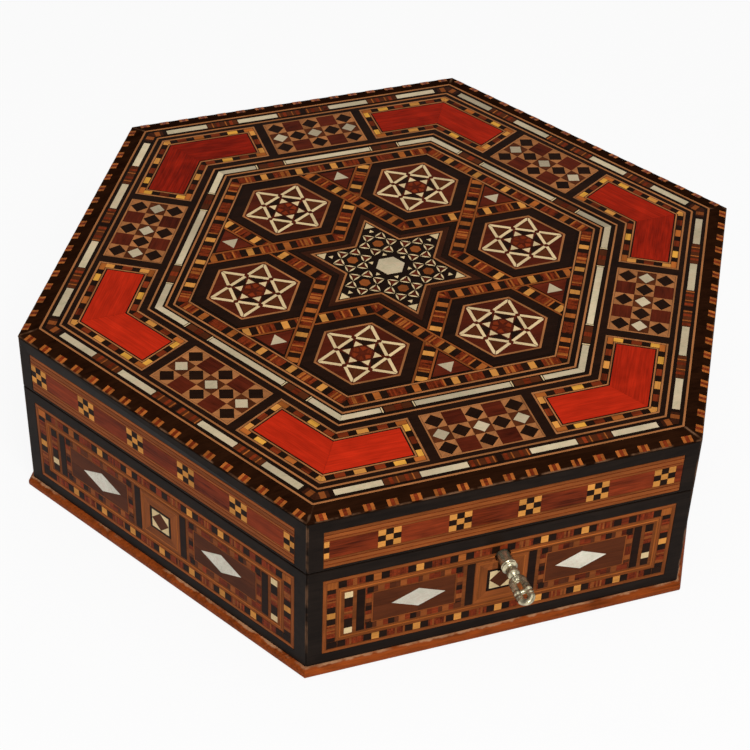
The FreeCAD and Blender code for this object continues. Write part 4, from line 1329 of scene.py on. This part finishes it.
def bow_place(out, across, up=0.0):
    """Point measured along and across the tilted bow."""
    cos, sin = math.cos(BOW_TILT), math.sin(BOW_TILT)
    return key_place(out, across * cos - up * sin, across * sin + up * cos)


def skin(solid, pairs):
    """Faces between neighbouring rings of points; a ring may be a single point."""
    faces = []
    for first, second in pairs:
        count = max(len(first), len(second))
        for number in range(count):
            following = (number + 1) % count
            corners = [first[number % len(first)], first[following % len(first)]]
            corners += [second[following % len(second)], second[number % len(second)]]
            faces.append(solid.faces.new(list(dict.fromkeys(corners))))
    return faces


def turned_shank():
    """Hollow barrel, rings, ball and collar, turned about the key's axis."""
    middle, ball_radius = KEY_BALL
    bends = [polar(ball_radius, degrees) for degrees in range(50, 151, 10)]
    ball = [(middle - along, radius) for along, radius in bends]
    shank = bmesh.new()
    rings = []
    for out, radius in (*KEY_BARREL, *KEY_RINGS, *ball, *KEY_COLLAR):
        points = regular(40, radius, 0) if radius else [(0.0, 0.0)]
        rings.append([shank.verts.new(key_place(out, x, y)) for x, y in points])
    skin(shank, zip(rings, rings[1:]))
    bmesh.ops.recalc_face_normals(shank, faces=shank.faces)
    for face in shank.faces:
        face.smooth = True
    return shank


def bow_path():
    """Middle line of the bow: two half rounds joined by straight sides."""
    stride = (BOW_FAR - BOW_NEAR) / BOW_STEPS
    path = []
    for centre, sign in ((BOW_FAR, 1), (BOW_NEAR, -1)):
        for degrees in range(0, 180, 12):
            across, out = polar(sign * BOW_HALF, degrees)
            path.append((centre + out, across))
        path.extend((centre - sign * stride * step, -sign * BOW_HALF) for step in range(BOW_STEPS))
    return path


def bead(solid, out, across, radius, segments=(16, 10)):
    """Adds a round bead to the bow."""
    place = Matrix.Translation(bow_place(out, across))
    sphere = {"u_segments": segments[0], "v_segments": segments[1], "radius": radius * MM}
    bmesh.ops.create_uvsphere(solid, matrix=place, **sphere)


def cast_bow():
    """Long pierced bow with beaded sides, as soft as a casting."""
    solid = bmesh.new()
    path = bow_path()
    rings = []
    for number, (out, across) in enumerate(path):
        before, after = path[number - 1], path[(number + 1) % len(path)]
        along = math.atan2(after[0] - before[0], after[1] - before[1])
        size = 1.2 + 0.06 * math.cos((out - BOW_NEAR) * 2.6)
        points = []
        for side, rise in regular(14, size, 0):
            point = bow_place(out - side * math.cos(along), across + side * math.sin(along), 0.88 * rise)
            points.append(solid.verts.new(point))
        rings.append(points)
    skin(solid, around(rings))
    for sign in (1, -1):
        bead(solid, 16.8, sign * BOW_HALF, 1.4)
        bead(solid, 18.6, sign * (BOW_HALF + 0.1), 1.2)
        bead(solid, 12.4, sign * BOW_HALF, 1.1)
    bead(solid, 21.5, 0.0, 0.95)
    bead(solid, 11.4, 0.0, 1.2)
    for number in range(-3, 4):
        bead(solid, 16.9, number * BOW_HALF / 3, 0.86, (14, 8))
    bmesh.ops.recalc_face_normals(solid, faces=solid.faces)
    holder = show(mesh_of(solid, "key_bow"), "key_bow_holder")
    cast = holder.modifiers.new("cast", "REMESH")
    cast.mode = "VOXEL"
    cast.voxel_size = 0.13 * MM
    cast.use_smooth_shade = True
    soften = holder.modifiers.new("soften", "SMOOTH")
    soften.iterations = 3
    mesh = plain_mesh(holder, "key_bow_cast")
    discard(holder)
    return mesh


def add_bit(key):
    """Flat bit with a notch, under the end of the barrel."""
    half, low, high = 0.9, -6.45, -1.5
    start = KEY_START + 0.3
    notch_start, notch_end, notch_top, end = start + 1.1, start + 1.8, low + 1.4, start + 3.0
    outline = [(start, high), (start, low), (notch_start, low), (notch_start, notch_top)]
    outline += [(notch_end, notch_top), (notch_end, low), (end, low), (end, high)]
    bit = [[key.verts.new(key_place(out, across, up)) for out, up in outline] for across in (-half, half)]
    faces = [key.faces.new(bit[0]), key.faces.new(bit[1][::-1]), *skin(key, [bit])]
    bmesh.ops.recalc_face_normals(key, faces=faces)


# Lining
LINING_RINGS = 40
LINING_EDGE = 0.2 * MM
LINING_ROLL = 0.35 * MM
PILE_UNEVEN = 0.06 * MM


def hexagon_layer(cloth, radius, height_of):
    """Points of a hexagon, ring by ring from its middle; height_of gives the height in each ring."""
    layer = [[cloth.verts.new((0.0, 0.0, height_of(0)))]]
    for number in range(1, LINING_RINGS + 1):
        points = []
        for a, b in around(regular(SIDES, radius * number / LINING_RINGS, 0)):
            for step in range(number):
                share = step / number
                x, y = a[0] + (b[0] - a[0]) * share, a[1] + (b[1] - a[1]) * share
                points.append(cloth.verts.new((x, y, height_of(number))))
        layer.append(points)
    return layer


def web(cloth, layer):
    """Triangles between the rings of a hexagon."""
    for number, (inner, outer) in enumerate(zip(layer, layer[1:]), 1):
        for side in range(SIDES):
            for step in range(number):
                place, behind = side * number + step, side * (number - 1) + step
                a, b = outer[place], outer[(place + 1) % len(outer)]
                c, d = inner[behind % len(inner)], inner[(behind + 1) % len(inner)]
                cloth.faces.new((a, b, c))
                if step < number - 1:
                    cloth.faces.new((b, d, c))


def lining_mesh(node, upward):
    """Hexagonal sheet with a soft pile edge, lying on a board."""
    low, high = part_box(node)
    radius = high[0] - LINING_EDGE
    inward = -1 if upward else 1
    back = (low if upward else high)[2] - inward * 0.02 * MM
    face = (high if upward else low)[2] + inward * 0.05 * MM
    dice = random.Random(7)

    def pile_height(number):
        if number == 0:
            return face
        roll = LINING_ROLL if number == LINING_RINGS else 0.0
        return face + inward * (roll + dice.uniform(0, PILE_UNEVEN))

    cloth = bmesh.new()
    front = hexagon_layer(cloth, radius, pile_height)
    under = hexagon_layer(cloth, radius, lambda number: back)
    for layer in (front, under):
        web(cloth, layer)
    skin(cloth, [(front[-1], under[-1])])
    bmesh.ops.recalc_face_normals(cloth, faces=cloth.faces)
    mesh = mesh_of(cloth, node)
    mesh.shade_smooth()
    return mesh


# Studio
FLOOR_HALF = 8.0
LAMPS = (("front_lamp", (-0.1, -0.75, 0.8), 0.5, 6.0), ("top_lamp", (0.1, -0.1, 1.4), 1.2, 4.0))
LAMP_TARGET = Vector((0.0, 0.0, 0.05))
CAMERA_LENS = 93.2574
CAMERA_PLACE = (-0.19299859, -0.51425952, 0.47923848)
CAMERA_TURN = (50.04911796, -1.7117112, -18.72766199)
WHITE = (1.0, 1.0, 1.0, 1.0)
PAPER = (0.95, 0.95, 0.95, 1.0)


def seen_rays(bench):
    """1 for rays that come from the camera, or by way of a mirror or glass."""
    path = bench.add("ShaderNodeLightPath").outputs
    seen = bench.math("MAXIMUM", path["Is Camera Ray"], path["Is Glossy Ray"])
    return bench.math("MAXIMUM", seen, path["Is Transmission Ray"])


def lead_mix(bench, output, factor, first, second):
    """Leads a mix of two shaders to the output."""
    mixed = bench.add("ShaderNodeMixShader")
    bench.feed_all(mixed.inputs, factor, first, second)
    bench.fill(bench.add(output), Surface=mixed.outputs[0])


def floor_finish():
    """White floor that keeps a faint shadow."""
    material = bpy.data.materials.new("floor")
    bench = bare_bench(material)
    paper = bench.made("ShaderNodeBsdfDiffuse", Color=PAPER)
    glow = bench.made("ShaderNodeEmission", Color=WHITE)
    lead_mix(bench, "ShaderNodeOutputMaterial", bench.product(seen_rays(bench), 0.9), paper, glow)
    return material


def set_world(scene):
    """White backdrop that darkens towards the ceiling, and a soft light from all round."""
    scene.world = bpy.data.worlds.new("studio")
    bench = bare_bench(scene.world)
    ray = bench.add("ShaderNodeTexCoord").outputs["Generated"]
    fading = bench.spread(bench.parts(ray)["Z"], 0.2, 0.45, 1.0, 0.3)
    soft = bench.made("ShaderNodeBackground", Color=WHITE, Strength=0.25)
    white = bench.made("ShaderNodeBackground", Color=WHITE, Strength=fading)
    lead_mix(bench, "ShaderNodeOutputWorld", seen_rays(bench), soft, white)


def lamp(name, place, size, watts):
    """Square soft lamp that faces the box."""
    data = bpy.data.lights.new(name, "AREA")
    data.size = size
    data.energy = watts
    item = show(data, name)
    item.location = place
    item.rotation_euler = (LAMP_TARGET - Vector(place)).to_track_quat("-Z", "Y").to_euler()


# Settings
def stain(label, about, *colour):
    return bpy.props.FloatVectorProperty(
        name=label,
        description=about,
        subtype="COLOR_GAMMA",
        size=3,
        min=0.0,
        max=1.0,
        default=[value / 255 for value in colour],
    )


def measure(label, about, millimetres):
    return bpy.props.FloatProperty(
        name=label,
        description=about,
        default=millimetres * MM,
        min=0.0,
        precision=5,
        unit="LENGTH",
        subtype="DISTANCE",
    )


class BoxColours(bpy.types.PropertyGroup):
    """Stains of the woods and colours of the other finishes."""

    ebony: stain("Ebony", "Black wood of frames and chequers", 33, 16, 7)
    rosewood: stain("Rosewood", "Red-brown wood", 118, 44, 17)
    tan: stain("Tan", "Thin light brown lines", 172, 110, 64)
    lemon: stain("Lemon wood", "Yellow wood of the chequers", 212, 142, 66)
    bone: stain("Bone", "Cream inlay of the stars", 230, 202, 152)
    brown: stain("Brown", "Dark brown wood", 86, 41, 18)
    orange: stain("Orange", "Orange-brown wood", 168, 92, 38)
    plum: stain("Plum", "Dark red wood of the fields", 84, 29, 13)
    cherry: stain("Cherry", "Red-brown lines of the straps", 140, 74, 32)
    yellow: stain("Yellow", "Bright wood of the chevron rows", 222, 158, 62)
    red: stain("Red", "Stained wood of the corner panels", 170, 35, 13)
    umber: stain("Umber", "Dark brown band round the star", 60, 28, 13)
    pearl: stain("Pearl", "Mother-of-pearl of the sides", 228, 220, 200)
    shell: stain("Aged pearl", "Yellowed mother-of-pearl of the top", 216, 197, 161)
    frame: stain("Frame ebony", "Black veneer round the panels of the sides", 30, 22, 17)
    walnut: stain("Walnut", "Boards of the box", 104, 62, 34)
    moulding: stain("Moulding", "Board under the box", 140, 64, 22)
    worn: stain("Worn wood", "Rubbed corners", 150, 108, 78)
    bare: stain("Bare wood", "Rubbed top of the base moulding", 210, 160, 118)
    velvet: stain("Velvet", "Lining", 104, 14, 24)
    brass: stain("Brass", "Hinges and lock", 204, 164, 88)
    nickel: stain("Nickel", "Key", 216, 204, 168)


class BoxSettings(bpy.types.PropertyGroup):
    """Sizes of the marquetry, and the colours."""

    saw_gap: measure("Saw gap", "Space left round each tessera", 0.03)
    tessera: measure("Tessera", "Depth of each tessera", 0.2)
    recess: measure("Recess", "How far the ground lies below the face", 0.1)
    relief: measure("Relief", "Unevenness of the face", 0.008)
    arris: measure("Arris", "Rounding of the outer edges", 0.3)
    colours: bpy.props.PointerProperty(type=BoxColours)


# How far the tone of each wood varies, and how strong its figure is
SPREADS = {
    # The red's wide spread is partly real tone and partly painted light and shade: with the seed of the red
    # arms it makes them lighter in front and darker at the right and back
    "lemon": 0.18, "orange": 0.25, "rosewood": 0.3, "bone": 0.1, "red": 0.5, "plum": 0.3, "cherry": 0.22,
}
USUAL_SPREAD = 0.15
FIGURES = {"red": 0.7, "bone": 0.2, "ebony": 0.7, "rosewood": 1.1, "lemon": 0.4, "plum": 0.9}
USUAL_FIGURE = 0.5


class BoxOperator:
    """Shared parts of the operators."""

    bl_options = {"REGISTER", "UNDO"}

    def settings(self, context):
        return context.scene.inlaid_box


class BOX_OT_finishes(BoxOperator, bpy.types.Operator):
    """Mixes every finish and builds the tree that lays the tesserae"""

    bl_idname = "inlaid_box.finishes"
    bl_label = "Mix finishes"

    def execute(self, context):
        colours = self.settings(context).colours
        groups = (make_wood_figure, make_nacre, make_arris_wear, make_rubbed_foot, make_tarnish, make_pile)
        for build in groups:
            build()
        materials = {"pearl": pearl_finish("pearl_tessera", colours.shell, tessera_tone)}
        for wood in WOODS:
            if wood not in materials:
                look = (SPREADS.get(wood, USUAL_SPREAD), FIGURES.get(wood, USUAL_FIGURE))
                materials[wood] = wood_finish(wood, getattr(colours, wood), *look)
        tesserae_tree(materials)
        pearl_finish("pearl_inlay", colours.pearl)
        pearl_finish("aged_pearl", colours.shell)
        board_finish("ground", toned(colours.ebony, 0.8), 0.4)
        board_finish("plum_ground", colours.plum, 0.6)
        board_finish("cherry_ground", toned(colours.cherry, 0.85), 0.6)
        board_finish("ebony_veneer", colours.frame, 0.7, gloss=0.3, worn=colours.worn)
        board_finish("ebony_edge", toned(colours.ebony, 1.15), 0.8, worn=colours.worn, shine=0.0)
        board_finish("ebony_top", colours.ebony, 0.7)
        board_finish("field_veneer", toned(colours.plum, 1.12), 0.8)
        board_finish("moulding_wood", colours.moulding, 0.9, worn=colours.bare, wear="rubbed_foot")
        for degrees in (0, 60, 120):
            board_finish(f"walnut_{degrees}", colours.walnut, 0.8, degrees, RAW_GLOSS)
        metal_finish("brass_fitting", colours.brass, toned(colours.brass, 0.55), 0.3)
        # The key gets strong painted shade along its turned-away edges
        metal_finish("nickel_key", colours.nickel, toned(colours.nickel, 0.6), 0.2, metallic=0.75, painted_rim_shade=0.85)
        velvet_finish("velvet_lining", colours.velvet)
        return {"FINISHED"}


class BOX_OT_carcass(BoxOperator, bpy.types.Operator):
    """Finishes the boards of the box and the lid"""

    bl_idname = "inlaid_box.carcass"
    bl_label = "Finish carcass"

    def execute(self, context):
        facing = {0: ("front", "back"), 120: ("front_right", "back_left"), 60: ("back_right", "front_left")}
        for degrees, sides in facing.items():
            for side in sides:
                dress(f"walnut_{degrees}", f"wall_{side}", f"lid_rail_{side}")
        dress("walnut_0", "lid_top_board")
        dress("moulding_wood", "base_board")
        return {"FINISHED"}


class BOX_OT_veneers(BoxOperator, bpy.types.Operator):
    """Finishes the ebony veneers, the dark fields and the pearl inlays"""

    bl_idname = "inlaid_box.veneers"
    bl_label = "Finish veneers and pearl"

    def execute(self, context):
        dress("ebony_veneer", "wall_frames", "lid_frames")
        dress("ebony_edge", "lid_edge_strips")
        dress("ebony_top", "panel_ring", "medallion_frames")
        dress("field_veneer", "field_triangles")
        dress("pearl_inlay", "wall_rhombi")
        dress("aged_pearl", "star_pearl", "pearl_triangles")
        ease_edges(self.settings(context).arris, "wall_frames", "lid_frames", "lid_edge_strips")
        return {"FINISHED"}


class BOX_OT_edge_blocks(BoxOperator, bpy.types.Operator):
    """Lays the small blocks along the lid's sloping edge"""

    bl_idname = "inlaid_box.edge_blocks"
    bl_label = "Lay edge blocks"

    def execute(self, context):
        settings = self.settings(context)
        drawing = Drawing(settings.saw_gap / MM)
        draw_edge_blocks(drawing)
        seed = 11
        sheet = sheet_of("edge_blocks", drawing, on_slope(EDGE_PROUD - settings.tessera / MM), seed)
        piece = lay_inlay("lid_edge_blocks", None, [(sheet, SIDES, 0)], settings, seed)
        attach(piece, "lid")
        return {"FINISHED"}


class BOX_OT_top_marquetry(BoxOperator, bpy.types.Operator):
    """Lays the marquetry of the lid's top, from the outer border to the star"""

    bl_idname = "inlaid_box.top_marquetry"
    bl_label = "Lay top marquetry"

    def execute(self, context):
        settings = self.settings(context)
        lift = flat_at(TOP - SUNK - settings.tessera / MM)
        drawings = (
            ("outer_border", draw_outer_border, "ground", 20),
            ("outer_pearl_strips", draw_outer_pearls, "ground", 50),
            ("inner_pearl_strips", draw_inner_pearls, "ground", 53),
            ("chequer_tiles", draw_chequer_tile, "ground", 23),
            # Seed 124 is picked so that the red arms' chance tones come out lighter in front and darker at
            # the right and back: painted light and shade
            ("chevron_panels", draw_chevrons, "ground", 124),
            ("chevron_borders", draw_chevron_borders, "ground", 29),
            ("inner_border", draw_inner_border, "ground", 32),
            ("strapwork", draw_straps, "ground", 35),
            ("star_tile", draw_star, "ground", 38),
            ("medallion_tiles", draw_medallion, "plum_ground", 41),
            ("star_frame", draw_star_frame, "ground", 44),
        )
        for node, draw, ground, seed in drawings:
            inlay(node, draw, lift, "lid", settings, seed, ground)
        return {"FINISHED"}


class BOX_OT_side_marquetry(BoxOperator, bpy.types.Operator):
    """Lays the panels, tiles and friezes of the six sides"""

    bl_idname = "inlaid_box.side_marquetry"
    bl_label = "Lay side marquetry"

    def execute(self, context):
        settings = self.settings(context)
        lift = upright_at(FACE - SUNK - settings.tessera / MM)
        keyhole = (regular(24, KEYHOLE_RADIUS, 0, (0.0, KEY_HEIGHT)), rectangle(KEYHOLE_SLOT))
        tiles = {"front": draw_centre_tile, "holes": keyhole}
        inlay("wall_centre_tiles", draw_centre_tile, lift, "box", settings, 60, **tiles)
        front_panel = functools.partial(draw_wall_panel, bars=(END_BAR, ODD_BAR))
        panels = {"ground": "cherry_ground", "front": front_panel, "holes": keyhole}
        inlay("wall_panels", draw_wall_panel, lift, "box", settings, 66, **panels)
        front_frieze = functools.partial(draw_frieze, first=7.6)
        other_frieze = functools.partial(draw_frieze, first=13.2)
        inlay("lid_friezes", other_frieze, lift, "lid", settings, 63, "cherry_ground", front_frieze)
        return {"FINISHED"}


class BOX_OT_fittings(BoxOperator, bpy.types.Operator):
    """Finishes the brass hinges and lock"""

    bl_idname = "inlaid_box.fittings"
    bl_label = "Finish brass"

    def execute(self, context):
        brass = [name for name in NODES if name.startswith(("hinge_", "lock_", "strike_"))]
        dress("brass_fitting", *brass)
        return {"FINISHED"}


class BOX_OT_screws(BoxOperator, bpy.types.Operator):
    """Drives the slotted screws of the hinges, the lock and the strike plate"""

    bl_idname = "inlaid_box.screws"
    bl_label = "Drive screws"

    def execute(self, context):
        tree = screw_tree(bpy.data.materials["brass_fitting"])
        up, down, inward = (0.0, 0.0, 0.0), (math.pi, 0.0, 0.0), (-math.pi / 2, 0.0, 0.0)
        sets = (
            ("hinge_screws_box", "box", up, 2, 1),
            ("hinge_screws_lid", "lid", down, 2, 0),
            ("strike_screws", "lid", down, 2, 0),
            ("lock_screws", "box", inward, 1, 1),
        )
        for seed, (node, body, facing, axis, end) in enumerate(sets, 5):
            heads = []
            for corners in solids_of(node):
                centre = (corners[0] + corners[1]) / 2
                centre[axis] = corners[end][axis]
                heads.append(centre)
            mesh = bpy.data.meshes.new(node)
            mesh.from_pydata(heads, [], [])
            holder = show(mesh, f"{node}_holder")
            run_tree(holder, tree, {"Facing": facing, "Seed": seed})
            piece = show(plain_mesh(holder, node), f"{node}_slotted")
            discard(holder)
            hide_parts(node)
            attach(piece, body)
        return {"FINISHED"}


class BOX_OT_key(BoxOperator, bpy.types.Operator):
    """Makes the cast key that stands in the lock"""

    bl_idname = "inlaid_box.key"
    bl_label = "Make key"

    def execute(self, context):
        key = turned_shank()
        bow = cast_bow()
        key.from_mesh(bow)
        bpy.data.meshes.remove(bow)
        add_bit(key)
        mesh = mesh_of(key, "key_cast")
        mesh.materials.append(bpy.data.materials["nickel_key"])
        piece = show(mesh, "key_cast")
        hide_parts("key")
        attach(piece, "key")
        return {"FINISHED"}


class BOX_OT_linings(BoxOperator, bpy.types.Operator):
    """Lays the velvet in the box and in the lid"""

    bl_idname = "inlaid_box.linings"
    bl_label = "Lay lining"

    def execute(self, context):
        linings = (
            ("floor_lining", "box", "base_board", True),
            ("lid_lining", "lid", "lid_top_board", False),
        )
        for node, body, support, upward in linings:
            piece = show(lining_mesh(node, upward), f"{node}_velvet")
            piece.data.materials.append(bpy.data.materials["velvet_lining"])
            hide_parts(node)
            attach(piece, body)
        return {"FINISHED"}


class BOX_OT_stage(BoxOperator, bpy.types.Operator):
    """Sets the floor, the light and the camera"""

    bl_idname = "inlaid_box.stage"
    bl_label = "Set stage"

    def execute(self, context):
        scene = context.scene
        floor_mesh = bpy.data.meshes.new("floor")
        corners = rectangle((-FLOOR_HALF, FLOOR_HALF, -FLOOR_HALF, FLOOR_HALF))
        floor_mesh.from_pydata([(x, y, 0) for x, y in corners], [], [range(4)])
        floor_mesh.materials.append(floor_finish())
        floor = show(floor_mesh, "floor")
        set_world(scene)
        for name, place, size, watts in LAMPS:
            lamp(name, place, size, watts)
        camera_data = bpy.data.cameras.new("camera")
        camera_data.lens = CAMERA_LENS
        camera_data.sensor_width = 36.0
        camera_data.clip_start = 0.01
        camera = show(camera_data, "camera")
        camera.location = CAMERA_PLACE
        camera.rotation_euler = [math.radians(degrees) for degrees in CAMERA_TURN]
        scene.camera = camera
        scene.view_settings.view_transform = "Standard"
        return {"FINISHED"}


OPERATORS = (
    BOX_OT_finishes,
    BOX_OT_carcass,
    BOX_OT_veneers,
    BOX_OT_edge_blocks,
    BOX_OT_top_marquetry,
    BOX_OT_side_marquetry,
    BOX_OT_fittings,
    BOX_OT_screws,
    BOX_OT_key,
    BOX_OT_linings,
    BOX_OT_stage,
)


class BOX_PT_panel(bpy.types.Panel):
    """Lists the steps that dress the box"""

    bl_idname = "BOX_PT_panel"
    bl_label = "Inlaid box"
    bl_space_type = "VIEW_3D"
    bl_region_type = "UI"
    bl_category = "Inlaid box"

    def draw(self, context):
        for operator in OPERATORS:
            self.layout.operator(operator.bl_idname)


CLASSES = (BoxColours, BoxSettings, *OPERATORS, BOX_PT_panel)


def register():
    for item in CLASSES:
        bpy.utils.register_class(item)
    bpy.types.Scene.inlaid_box = bpy.props.PointerProperty(type=BoxSettings)


def unregister():
    del bpy.types.Scene.inlaid_box
    for item in reversed(CLASSES):
        bpy.utils.unregister_class(item)


def main():
    register()
    for operator in OPERATORS:
        group, name = operator.bl_idname.split(".")
        getattr(getattr(bpy.ops, group), name)()


if __name__ == "__main__":
    main()
